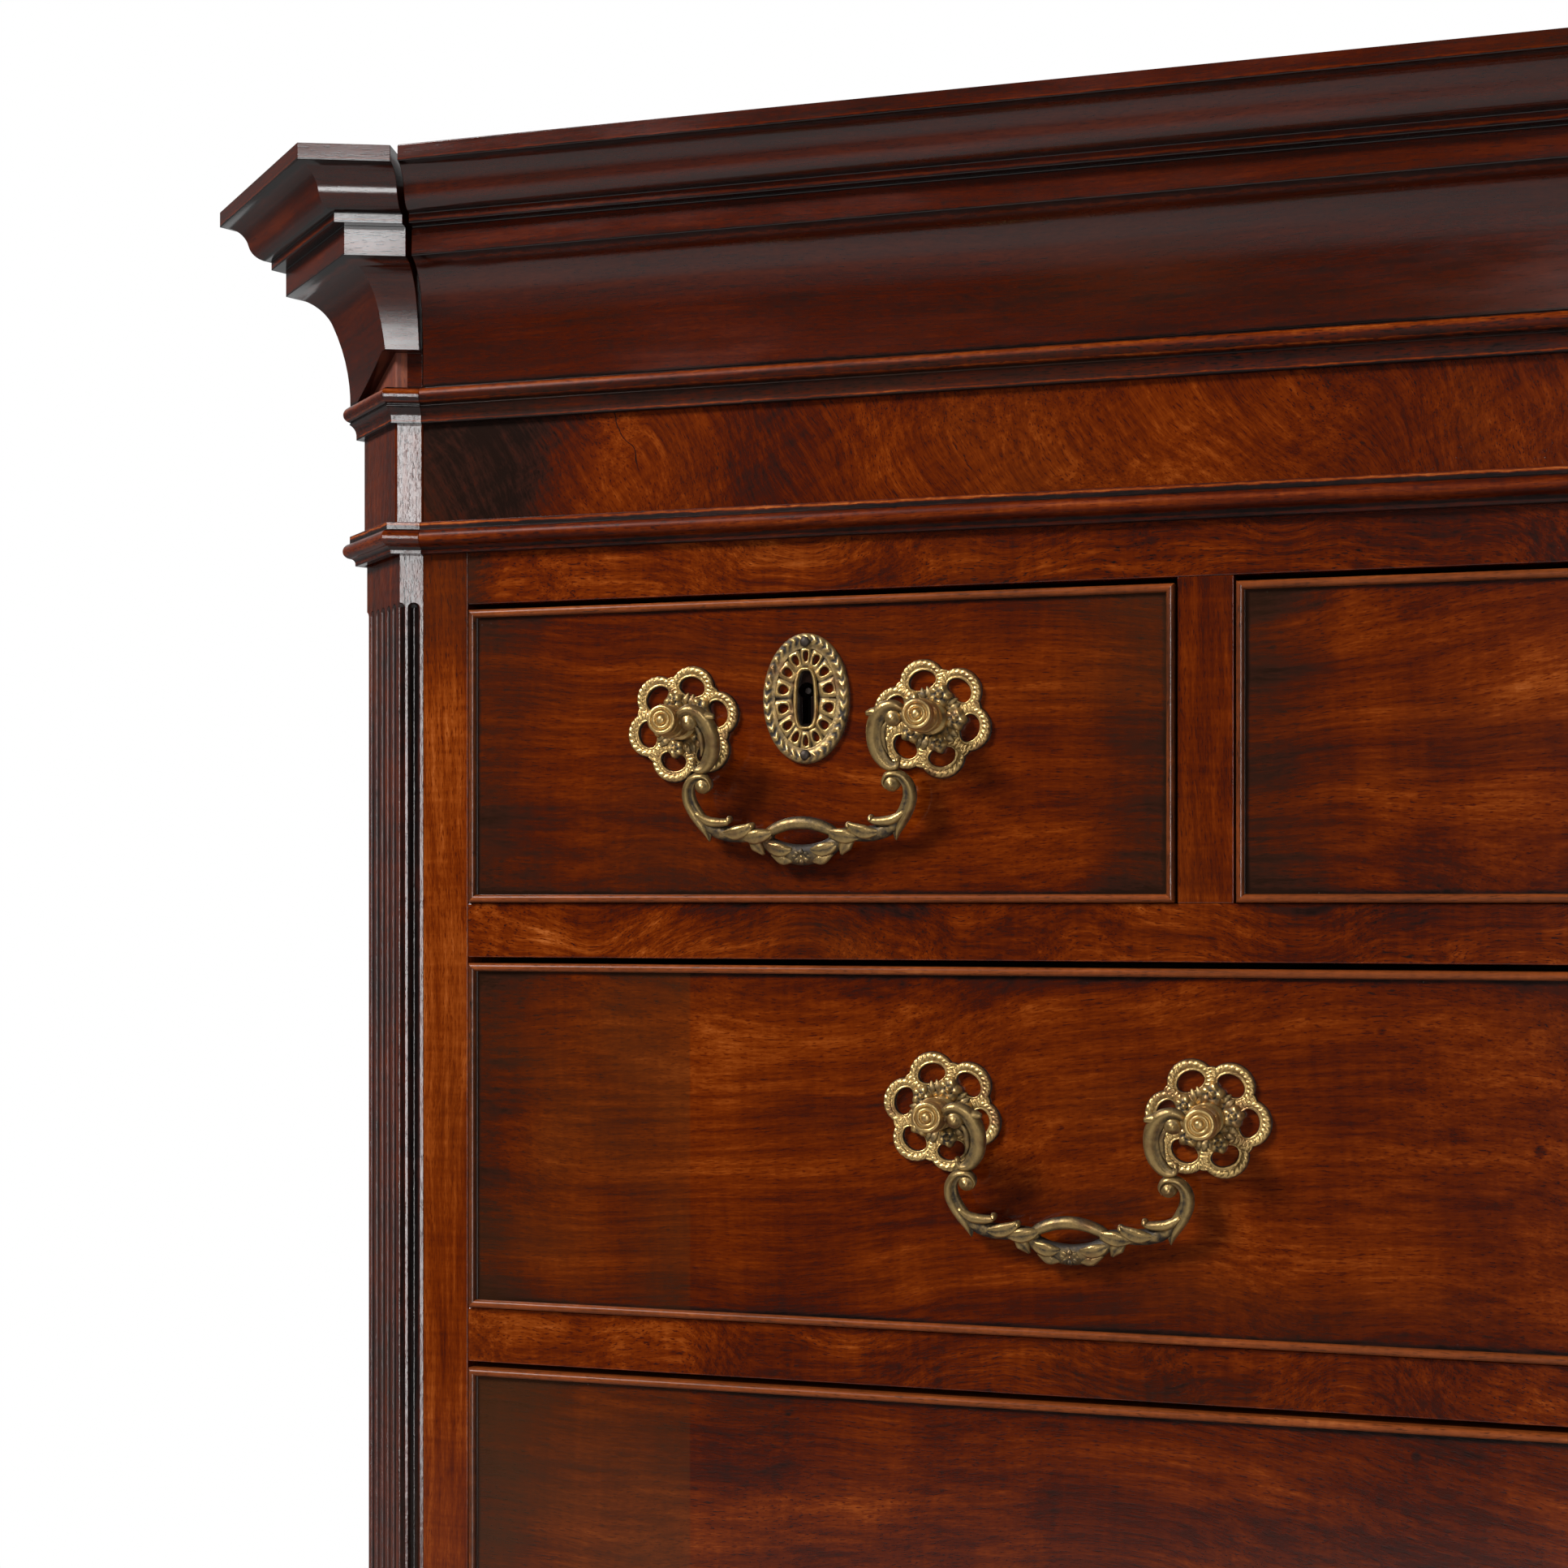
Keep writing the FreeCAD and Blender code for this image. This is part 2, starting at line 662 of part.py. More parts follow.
# Right half of the bail's centre line, from its pivot down round two scrolls to the middle of the
# grip: share of the half width between the pivots, share of the drop, half width of the casting
bail_line = [
    (1.0, -0.02, 4.0),
    (0.88, -0.02, 3.4),
    (0.78, 0.12, 3.2),
    (0.79, 0.28, 3.1),
    (0.92, 0.42, 2.8),
    (1.09, 0.53, 2.8),
    (1.08, 0.67, 3.1),
    (0.90, 0.77, 3.6),
    (0.65, 0.78, 3.8),
    (0.37, 0.815, 5.6),
    (0.0, 0.85, 8.5),
]
bail_eye = [(-0.33, 0.825), (0.0, 0.755), (0.33, 0.825), (0.0, 0.865)]


def bail():
    """Cast bail about its pivot axis, with a pin at either end and an eye pierced in its grip; it
    is drawn hanging straight down, then leaned in."""
    reach = post_spacing / 2 - bail_eye_offset
    right = [(x * reach, -z * bail_drop, half) for x, z, half in bail_line]
    whole = right + [(-x, z, half) for x, z, half in reversed(right[:-1])]
    rims = [], []
    for i, (x, z, half) in enumerate(whole):
        before, after = whole[max(i - 1, 0)], whole[min(i + 1, len(whole) - 1)]
        along = Vector(after[0] - before[0], 0, after[1] - before[1]).normalize()
        across = Vector(along.z, 0, -along.x) * half
        rims[0].append(Vector(x, -bail_thickness / 2, z) + across)
        rims[1].append(Vector(x, -bail_thickness / 2, z) - across)
    curves = []
    for rim in rims:
        curve = Part.BSplineCurve()
        curve.interpolate(rim)
        curves.append(curve.toShape())
    caps = [Part.makeLine(rims[0][k], rims[1][k]) for k in (0, -1)]
    casting = Part.Face(Part.Wire([curves[0], caps[1], curves[1], caps[0]]))
    casting = casting.extrude(Vector(0, bail_thickness, 0))
    left, top, right, bottom = [(x * reach, -z * bail_drop) for x, z in bail_eye]
    eye = profile_face(left, [(top, right), (bottom, left)], lambda p: Vector(p[0], -bail_thickness, p[1]))
    casting = casting.cut(eye.extrude(Vector(0, 2 * bail_thickness, 0)))
    inner = reach - pivot_radius
    pin = rod((inner, 0, 0), (1, 0, 0), pivot_radius, post_spacing / 2 - bail_pin_gap - inner)
    solid = casting.fuse(both(pin)).removeSplitter().Solids[0]
    solid.rotate(Vector(0, 0, 0), Vector(1, 0, 0), bail_lean)
    return solid


def keyhole(y0, y1):
    """Cutter for a keyhole: a round top over a slot that hangs below it."""
    top = keyhole_length / 4
    slot = box(-keyhole_slot / 2, keyhole_slot / 2, y0, y1, top - keyhole_length, top)
    return rod((0, y0, top), (0, 1, 0), keyhole_radius, y1 - y0).fuse(slot)


def tack_heights():
    """Of the escutcheon's two tacks, above its middle."""
    return [escutcheon_height / 2 - tack_inset, tack_inset - escutcheon_height / 2]


def escutcheon():
    """Oval plate about the keyhole, pierced with a ring of small holes."""
    out = (0, -1, 0)
    rim = Part.Ellipse(Vector(0, 0, 0), escutcheon_height / 2, escutcheon_width / 2).toShape()
    plate = Part.Face(Part.Wire([rim])).extrude(Vector(0, 0, escutcheon_thickness))
    plate.rotate(Vector(0, 0, 0), Vector(0, 0, 1), 90)
    plate.rotate(Vector(0, 0, 0), Vector(1, 0, 0), 90)
    holes = [keyhole(-escutcheon_thickness, 0)]
    for i in range(escutcheon_holes):
        turn = 2 * math.pi * (i + 0.5) / escutcheon_holes
        x = (escutcheon_width / 2 - escutcheon_hole_inset) * math.cos(turn)
        z = (escutcheon_height / 2 - escutcheon_hole_inset) * math.sin(turn)
        holes.append(rod((x, 0, z), out, escutcheon_hole_radius, escutcheon_thickness))
    for z in tack_heights():
        holes.append(rod((0, 0, z), out, tack_radius + tack_clearance, escutcheon_thickness))
    return plate.cut(holes)


def tacks():
    """Flat-headed tacks that hold the escutcheon."""
    face, back = -escutcheon_thickness, (0, 1, 0)
    made = []
    for z in tack_heights():
        shank = rod((0, face, z), back, tack_radius, escutcheon_thickness + tack_depth)
        head = rod((0, face - tack_head_height, z), back, tack_head_radius, tack_head_height)
        made.append(shank.fuse(head).removeSplitter())
    return made


def lock_block(y0, y1):
    """Outside of the lock case between two depths behind the drawer's face."""
    return box(-lock_width / 2, lock_width / 2, y0, y1, -lock_fall, lock_rise)


def lock():
    """Lock case let into the back of the drawer's front, with its key pin."""
    y0 = front_thickness - lock_thickness
    case = lock_block(y0, front_thickness).cut(keyhole(y0, front_thickness - lock_wall))
    pin_start = (0, lock_wall, keyhole_length / 4)
    return case.fuse(rod(pin_start, (0, 1, 0), key_pin_radius, front_thickness - 1.5 * lock_wall))


# ---------------------------------------------------------------- drawers

# name, middle x and width of the opening, its floor and height, and the front plane it stands in
Drawer = namedtuple("Drawer", "name x width floor height plane")


def drawer_list():
    """Every drawer, row by row from the top."""
    end_x = (centre_opening + short_opening) / 2 + muntin_width
    short = (upper_floors[-1], upper_opening_heights[0], front_y)
    drawers = [
        Drawer("short_left", -end_x, short_opening, *short),
        Drawer("short_centre", 0.0, centre_opening, *short),
        Drawer("short_right", end_x, short_opening, *short),
    ]
    for i, height in enumerate(upper_opening_heights[1:]):
        floor = upper_floors[-2 - i]
        drawers.append(Drawer(f"upper_long_{i + 1}", 0.0, 2 * opening_x, floor, height, front_y))
    for i, height in enumerate(lower_opening_heights):
        floor = lower_floors[-1 - i]
        width = 2 * lower_opening_x
        drawers.append(Drawer(f"lower_long_{i + 1}", 0.0, width, floor, height, lower_front_y))
    return drawers


def handles(drawer):
    """Name and place of each handle: x from the drawer's middle, z of its pivots from the floor."""
    if drawer.name.startswith("short"):
        return [("bail", 0.0, drawer.height / 2 + short_pivot_rise)]
    reach = drawer.width * (0.5 - long_handle_share)
    z = drawer.height / 2 + long_pivot_rise
    return [("bail_left", -reach, z), ("bail_right", reach, z)]


def studs_of(drawer):
    """Place of each handle post, and the direction in which its socket opens."""
    return [
        (x + side * post_spacing / 2, z, -side) for _, x, z in handles(drawer) for side in (-1, 1)
    ]


def front_edges(drawer):
    """Half width of the drawer, its lower and its upper edge."""
    return drawer.width / 2 - drawer_gap_side, drawer_gap_bottom, drawer.height - drawer_gap_top


def drawer_home(drawer):
    """Where the drawer's own frame lies: middle of its face, at the floor of the opening."""
    return Vector(drawer.x, drawer.plane, drawer.floor)


def cockbeads(half, low, high):
    """Four mitred strips with rounded noses round a drawer front, whose face is at y = 0."""
    nose = bead_width / 2
    tail = bead_depth + bead_proud - nose
    section = [(bead_width, 0.0), ((nose, -nose), (0.0, 0.0)), (0.0, tail)]
    frame = [Vector(x, 0, z) for x, z in ((-half, low), (half, low), (half, high), (-half, high))]
    strips = []
    for i in range(4):
        a, b = frame[i], frame[(i + 1) % 4]
        along = (b - a).normalize()
        inward = Vector(-along.z, 0, along.x)
        base = a + Vector(0, nose - bead_proud, 0)
        face = profile_face(
            (bead_width, tail), section, lambda p: base + inward * p[0] + Vector(0, p[1], 0)
        )
        mitred = [a, b, b + (inward - along) * bead_width * 2, a + (inward + along) * bead_width * 2]
        mitred = [point - Vector(0, bead_depth, 0) for point in mitred + mitred[:1]]
        between = Part.Face(Part.makePolygon(mitred)).extrude(Vector(0, 3 * bead_depth, 0))
        strips.append(face.extrude(b - a).common(between).Solids[0])
    return strips


def tails(drawer, side):
    """Dovetails of one drawer side: flared tongues that run forward into the drawer front."""
    half, low, high = front_edges(drawer)
    low, high = low + bead_width + tail_margin, high - drawer_box_clearance - tail_margin
    outer = half - bead_width
    inner = half - drawer_side_thickness
    count = max(2, int((high - low) // tail_pitch))
    pitch = (high - low) / count
    root, tip = tail_root / 2, tail_root / 2 + tail_flare
    made = []
    for i in range(count):
        z = low + pitch * (i + 0.5)
        outline = [(front_thickness, z - root), (front_thickness, z + root), (lap, z + tip), (lap, z - tip)]
        wire = Part.makePolygon([Vector(side * inner, y, h) for y, h in outline + outline[:1]])
        made.append(Part.Face(wire).extrude(Vector(side * (outer - inner), 0, 0)))
    return made


def drawer_front(drawer):
    """Solid front, rebated for its cockbeads and cut for the tails, the handles and the lock."""
    half, low, high = front_edges(drawer)
    rim = bead_width
    board = box(-half + rim, half - rim, 0, front_thickness, low + rim, high - rim)
    board = board.fuse(box(-half, half, bead_depth, front_thickness, low, high)).removeSplitter()
    cutters = tails(drawer, -1) + tails(drawer, 1)
    hole = stud_shank_radius + stud_hole_clearance
    for x, z, _ in studs_of(drawer):
        cutters.append(rod((x, 0, z), (0, 1, 0), hole, front_thickness))
    for_lock = [lock_block(front_thickness - lock_thickness, front_thickness)]
    for_lock.append(keyhole(0, front_thickness))
    for z in tack_heights():
        for_lock.append(rod((0, 0, z), (0, 1, 0), tack_radius + tack_clearance, tack_depth))
    for cutter in for_lock:
        cutter.translate(Vector(0, 0, drawer.height - keyhole_drop))
    board = board.cut(cutters + for_lock).Solids[0]
    return [board] + cockbeads(half, low, high)


def drawer_box(drawer):
    """Two sides with their tails, a back, and a bottom let into grooves in the sides."""
    half, low, high = front_edges(drawer)
    length = inner_back_y - drawer.plane - drawer_back_clearance
    top = high - drawer_box_clearance
    inner = half - drawer_side_thickness
    floor, ceiling = low + drawer_bottom_height, low + drawer_bottom_height + drawer_bottom_thickness
    panel = inner + drawer_bottom_groove
    bottom = box(-panel, panel, front_thickness, length, floor, ceiling)
    back = box(-inner, inner, length - drawer_back_thickness, length, ceiling, top - drawer_back_drop)
    pieces = [back, bottom]
    for side in (-1, 1):
        x0, x1 = sorted((side * inner, side * half))
        board = box(x0, x1, front_thickness, length, low, top)
        pieces.append(board.fuse(tails(drawer, side)).removeSplitter().cut(bottom).Solids[0])
    return pieces


def drawer_brass(drawer):
    """Posts, roses and nuts of its handles, then its escutcheon, lock and tacks."""
    pieces = []
    for x, z, opens in studs_of(drawer):
        for piece in (stud().cut(socket(opens)), rose(), nut()):
            piece.translate(Vector(x, 0, z))
            pieces.append(piece.Solids[0])
    for piece in [escutcheon(), lock()] + tacks():
        piece.translate(Vector(0, 0, drawer.height - keyhole_drop))
        pieces.append(piece.Solids[0])
    return pieces


def save_drawer(drawer):
    """Writes a drawer's front, box and brass, and each of its bails."""
    home = drawer_home(drawer)
    groups = {"front": drawer_front(drawer), "box": drawer_box(drawer), "brass": drawer_brass(drawer)}
    for name, x, z in handles(drawer):
        swinging = bail()
        swinging.translate(Vector(x, -pivot_stand_off, z))
        groups[name] = [swinging]
    for name, pieces in groups.items():
        for piece in pieces:
            piece.translate(home)
        save(f"{drawer.name}_{name}", pieces)


# ---------------------------------------------------------------- build

upper_case()
save("fluted_post_left", [fluted_post()])
save("fluted_post_right", [mirrored(fluted_post())])
frieze()
cornice()
lower_case()
waist_and_base()
bracket_feet()
back_boards()
runners()
for entry in drawer_list():
    save_drawer(entry)
print(f"overall height {overall_height:.1f}, upper case {2 * side_x:.1f} wide")
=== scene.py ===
"""Looks of a mahogany chest on chest: polished woods, mouldings, cockbeaded drawers, cast brass.

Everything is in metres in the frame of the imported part: +X to the right, +Y to the back, +Z up.
"""

import json
import math

import bmesh
import bpy
import numpy as np
from mathutils import Matrix, Vector

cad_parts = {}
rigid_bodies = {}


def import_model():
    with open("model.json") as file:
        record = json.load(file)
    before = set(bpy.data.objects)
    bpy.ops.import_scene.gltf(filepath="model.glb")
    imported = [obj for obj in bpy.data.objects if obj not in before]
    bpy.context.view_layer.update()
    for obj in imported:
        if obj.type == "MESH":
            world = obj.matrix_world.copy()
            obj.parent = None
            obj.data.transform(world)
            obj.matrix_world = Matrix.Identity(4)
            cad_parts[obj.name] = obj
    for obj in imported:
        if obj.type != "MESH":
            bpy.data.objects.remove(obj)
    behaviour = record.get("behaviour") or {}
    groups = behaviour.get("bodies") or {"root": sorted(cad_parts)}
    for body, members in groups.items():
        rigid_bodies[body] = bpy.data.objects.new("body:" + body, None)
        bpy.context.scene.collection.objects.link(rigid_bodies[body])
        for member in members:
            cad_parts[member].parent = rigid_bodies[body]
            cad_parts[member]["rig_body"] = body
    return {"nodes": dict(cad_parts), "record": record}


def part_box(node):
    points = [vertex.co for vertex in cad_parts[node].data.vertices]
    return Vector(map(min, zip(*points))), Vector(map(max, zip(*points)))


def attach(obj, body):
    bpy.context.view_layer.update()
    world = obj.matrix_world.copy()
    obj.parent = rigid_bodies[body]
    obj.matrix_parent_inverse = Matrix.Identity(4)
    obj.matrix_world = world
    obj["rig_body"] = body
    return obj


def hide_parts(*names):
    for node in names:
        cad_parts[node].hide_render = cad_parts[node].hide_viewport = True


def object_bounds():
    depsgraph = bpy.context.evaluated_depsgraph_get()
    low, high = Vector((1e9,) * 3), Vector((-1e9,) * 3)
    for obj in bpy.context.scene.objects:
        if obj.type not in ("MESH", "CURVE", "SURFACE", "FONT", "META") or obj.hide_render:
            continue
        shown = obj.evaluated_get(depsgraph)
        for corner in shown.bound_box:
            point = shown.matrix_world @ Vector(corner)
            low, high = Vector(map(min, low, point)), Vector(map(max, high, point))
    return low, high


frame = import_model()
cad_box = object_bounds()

MM = 0.001

# ---------------------------------------------------------------- the room it is shown in
# A pale floor in a dark studio: one big lamp high on the left for the shadows, one tall softbox far
# off that the canted faces mirror, and a white backdrop far behind.


class Wire:
    """A number inside a material; arithmetic on it adds the nodes that work it out."""

    def __init__(self, finish, socket):
        self.finish, self.socket = finish, socket

    def maths(self, operation, *values):
        return self.finish.node("Math", {"operation": operation}, dict(enumerate(values)))

    def __add__(self, other):
        return self.maths("ADD", self, other)

    def __sub__(self, other):
        return self.maths("SUBTRACT", self, other)

    def __rsub__(self, other):
        return self.maths("SUBTRACT", other, self)

    def __mul__(self, other):
        return self.maths("MULTIPLY", self, other)

    def __abs__(self):
        return self.maths("ABSOLUTE", self)

    __radd__, __rmul__ = __add__, __mul__

    def lower(self, other):
        return self.maths("MINIMUM", self, other)

    def higher(self, other):
        return self.maths("MAXIMUM", self, other)

    def between(self, low, high):
        """0 below low, 1 above high (or the other way round), with a smooth step between."""
        ends = {"Value": self, "From Min": low, "From Max": high}
        return self.finish.node("MapRange", {"interpolation_type": "SMOOTHSTEP"}, ends)


class Finish:
    """The node tree of one material, or of the world, while it is being written."""

    def __init__(self, owner):
        owner.use_nodes = True
        self.tree = owner.node_tree
        self.tree.nodes.clear()

    def node(self, kind, settings, values, out=0):
        """Adds a node of a kind, with its settings and its sockets' numbers, colours or wires."""
        made = self.tree.nodes.new("ShaderNode" + kind)
        for key, value in settings.items():
            if key == "stops":
                self.ramp(made.color_ramp, value)
            else:
                setattr(made, key, value)
        for key, value in values.items():
            socket = made.inputs[key]
            if isinstance(value, Wire):
                self.tree.links.new(value.socket, socket)
            elif socket.type == "RGBA":
                socket.default_value = (*value, 1)
            else:
                socket.default_value = value
        return Wire(self, made.outputs[out]) if made.outputs else made

    @staticmethod
    def ramp(ramp, stops):
        while len(ramp.elements) < len(stops):
            ramp.elements.new(0.5)
        for element, (place, colour) in zip(ramp.elements, stops):
            element.position = place
            element.color = (*colour, 1)

    def place(self):
        """Where the surface point lies in the frame of the part."""
        return self.node("TexCoord", {}, {}, "Object")

    def parts(self, vector):
        """The three numbers of a vector."""
        split = self.node("SeparateXYZ", {}, {0: vector})
        return [Wire(self, output) for output in split.socket.node.outputs]

    def vector(self, operation, a, b, out=0):
        return self.node("VectorMath", {"operation": operation}, {0: a, 1: b}, out)

    def scaled(self, vector, scale):
        values = {0: vector, "Scale": scale}
        return self.node("VectorMath", {"operation": "SCALE"}, values)

    def noise(self, vector, detail=2.0, roughness=0.5, distortion=0.0):
        """Soft noise about 0, mostly between -1 and 1."""
        values = {"Vector": vector, "Scale": 1.0, "Detail": detail, "Roughness": roughness}
        raw = self.node("TexNoise", {}, {**values, "Distortion": distortion})
        return (raw - 0.5) * 4.0

    def clouds(self, place, scale, detail, roughness):
        """Noise of one scale in all directions."""
        return self.noise(self.scaled(place, scale), detail, roughness)

    def mix(self, share, a, b):
        """Colour a where share is 0 and b where it is 1."""
        return self.node("Mix", {"data_type": "RGBA"}, {0: share, 6: a, 7: b}, 2)


top = cad_box[1][2]
eye = (-0.097, -1.13745, top - 0.2942)
eye_turn = 17.3  # degrees to the left


def linked(name, data):
    """A new object in the scene that holds a mesh, a lamp or a camera."""
    holder = bpy.data.objects.new(name, data)
    bpy.context.scene.collection.objects.link(holder)
    return holder


def camera():
    """Eye level, turned a little to the left, close to the upper left corner of the chest."""
    seen = bpy.data.cameras.new("camera")
    seen.lens = 56.55
    seen.sensor_width = 36.0
    seen.shift_x = 0.0186
    seen.shift_y = 0.0745
    holder = linked("camera", seen)
    holder.location = eye
    holder.rotation_euler = (math.radians(90), 0, math.radians(eye_turn))
    bpy.context.scene.camera = holder


def softbox(name, place, target, width, height, power):
    """Rectangular lamp at a place, facing a target."""
    lamp = bpy.data.lights.new(name, "AREA")
    lamp.shape = "RECTANGLE"
    lamp.size = width
    lamp.size_y = height
    lamp.energy = power
    holder = linked(name, lamp)
    holder.location = place
    holder.rotation_euler = (Vector(target) - Vector(place)).to_track_quat("-Z", "Y").to_euler()


def room():
    """World and floor: white to the camera, dim to the polish except where the backdrop stands."""
    world = bpy.data.worlds.new("studio")
    bpy.context.scene.world = world
    sky = Finish(world)
    path = sky.node("LightPath", {}, {}).socket.node.outputs
    to_camera = Wire(sky, path["Is Camera Ray"])
    mirrored = Wire(sky, path["Is Glossy Ray"]).higher(Wire(sky, path["Is Transmission Ray"]))
    backwards = sky.parts(sky.node("TexCoord", {}, {}, "Generated"))[1]
    studio = 0.02 + backwards.between(0.25, 1.05) * 0.6
    ambient = 0.17
    strength = to_camera + mirrored * studio + (1 - to_camera.higher(mirrored)) * ambient
    light = sky.node("Background", {}, {"Color": (1, 1, 1), "Strength": strength})
    sky.node("OutputWorld", {}, {"Surface": light})

    reach = 6.0
    corners = [(-reach, -reach, 0), (reach, -reach, 0), (reach, reach, 0), (-reach, reach, 0)]
    sheet = bpy.data.meshes.new("floor")
    sheet.from_pydata(corners, [], [(0, 1, 2, 3)])
    floor = linked("floor", sheet)
    paint = bpy.data.materials.new("floor_paint")
    pale = Finish(paint)
    matt = pale.node("BsdfDiffuse", {}, {"Color": (0.66, 0.655, 0.65)})
    white = pale.node("Emission", {}, {"Color": (1, 1, 1), "Strength": 1.0})
    x, y, _ = pale.parts(pale.place())
    far = 0.4 + (x * x + y * y).between(1.0, 9.0) * 0.6
    seen = Wire(pale, pale.node("LightPath", {}, {}).socket.node.outputs["Is Camera Ray"])
    pale.node("OutputMaterial", {}, {
        "Surface": pale.node("MixShader", {}, {0: far * seen, 1: matt, 2: white})
    })
    sheet.materials.append(paint)
    bpy.context.scene.view_settings.view_transform = "Standard"


camera()
room()
softbox("key", (-1.75, -1.9, top + 1.35), (-0.35, -0.2, top - 0.4), width=0.7, height=0.7, power=98.0)
softbox("mirror", (1.14, -5.30, 1.75), (-0.5, -0.2, 1.75), width=0.45, height=3.4, power=76.0)

# ---------------------------------------------------------------- carcases
# Sides, tops and bottoms of both cases: plain straight-grained mahogany boards, butted and glued,
# polished outside. Every arris of the old wood is worn a little round.


def solids(node):
    """The separate solids of a node, as (points, triangles). Each closed surface meets every edge
    twice, so a running exclusive-or of one random number per edge is nought where a solid ends."""
    mesh = frame["nodes"][node].data
    mesh.calc_loop_triangles()
    points = np.empty(len(mesh.vertices) * 3, np.float32)
    mesh.vertices.foreach_get("co", points)
    corners = np.empty(len(mesh.loop_triangles) * 3, np.int32)
    mesh.loop_triangles.foreach_get("vertices", corners)
    places, merged = np.unique(np.round(points.reshape(-1, 3), 7), axis=0, return_inverse=True)
    corners = merged.ravel()[corners].reshape(-1, 3)
    edges = np.sort(np.stack([corners, np.roll(corners, -1, 1)], 2).reshape(-1, 2), 1)
    _, edge = np.unique(edges, axis=0, return_inverse=True)
    marks = np.random.default_rng(7).integers(1, 2**62, edge.max() + 1)
    of_face = np.bitwise_xor.reduce(marks[edge.ravel()].reshape(-1, 3), 1)
    running = np.bitwise_xor.accumulate(of_face)
    found, start = [], 0
    for end in np.flatnonzero(running == 0) + 1:
        own, faces = np.unique(corners[start:end], return_inverse=True)
        found.append((places[own].astype(float), faces.reshape(-1, 3)))
        start = end
    return found


flat_angle = 0.4  # degrees between two triangles that still count as one flat face
arris_angle = 28.0  # degrees at an edge sharp enough to be worn round


def tidied(mesh):
    """Joins the triangles of each flat face into one polygon and smooths every round face."""
    shape = bmesh.new()
    shape.from_mesh(mesh)
    bmesh.ops.dissolve_limit(
        shape, angle_limit=math.radians(flat_angle), verts=shape.verts, edges=shape.edges
    )
    shape.to_mesh(mesh)
    shape.free()
    mesh.polygons.foreach_set("use_smooth", np.ones(len(mesh.polygons), bool))


def joined(name, parts):
    """One mesh out of several surfaces, each (points, faces)."""
    starts = np.cumsum([0] + [len(points) for points, _ in parts])
    faces = [corners + start for (_, corners), start in zip(parts, starts)]
    mesh = bpy.data.meshes.new(name)
    mesh.from_pydata(np.concatenate([points for points, _ in parts]), [], np.concatenate(faces))
    return mesh


def mark(mesh, name, values):
    """Gives every point of a mesh its own number, which a material reads by its name."""
    mesh.attributes.new(name, "FLOAT", "POINT").data.foreach_set("value", values)


def body_of(node):
    return frame["nodes"][node]["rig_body"]


def from_solids(name, parts, worn, material, node, hollow=None):
    """Wooden piece made of some of a node's solids, at the origin with its arrises worn round. The
    optional function hollow gives, for all its points at once, how deep each lies in a groove."""
    mesh = joined(name, parts)
    mesh.materials.append(material)
    if hollow:
        mark(mesh, "hollow", hollow(np.concatenate([places for places, _ in parts])))
    tidied(mesh)
    piece = linked(name, mesh)
    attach(piece, body_of(node))
    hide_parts(node)
    edge = piece.modifiers.new("worn_arris", "BEVEL")
    edge.width = worn
    edge.segments = 2
    edge.limit_method = "ANGLE"
    edge.angle_limit = math.radians(arris_angle)
    edge.harden_normals = True
    return piece


dark_to_light = [
    (0.0, (0.0055, 0.0028, 0.0024)),
    (0.18, (0.019, 0.0058, 0.0040)),
    (0.36, (0.048, 0.0054, 0.0010)),
    (0.52, (0.086, 0.0102, 0.0002)),
    (0.66, (0.130, 0.0180, 0.0003)),
    (0.82, (0.210, 0.0390, 0.0030)),
    (1.0, (0.35, 0.092, 0.017)),
]
# dull brown that the wood is mixed towards: its random dull patches, faded leaves and, at the heads
# of the outer stiles, a painted shadow
dull_brown, house_dust = (0.070, 0.022, 0.0050), (0.16, 0.13, 0.115)


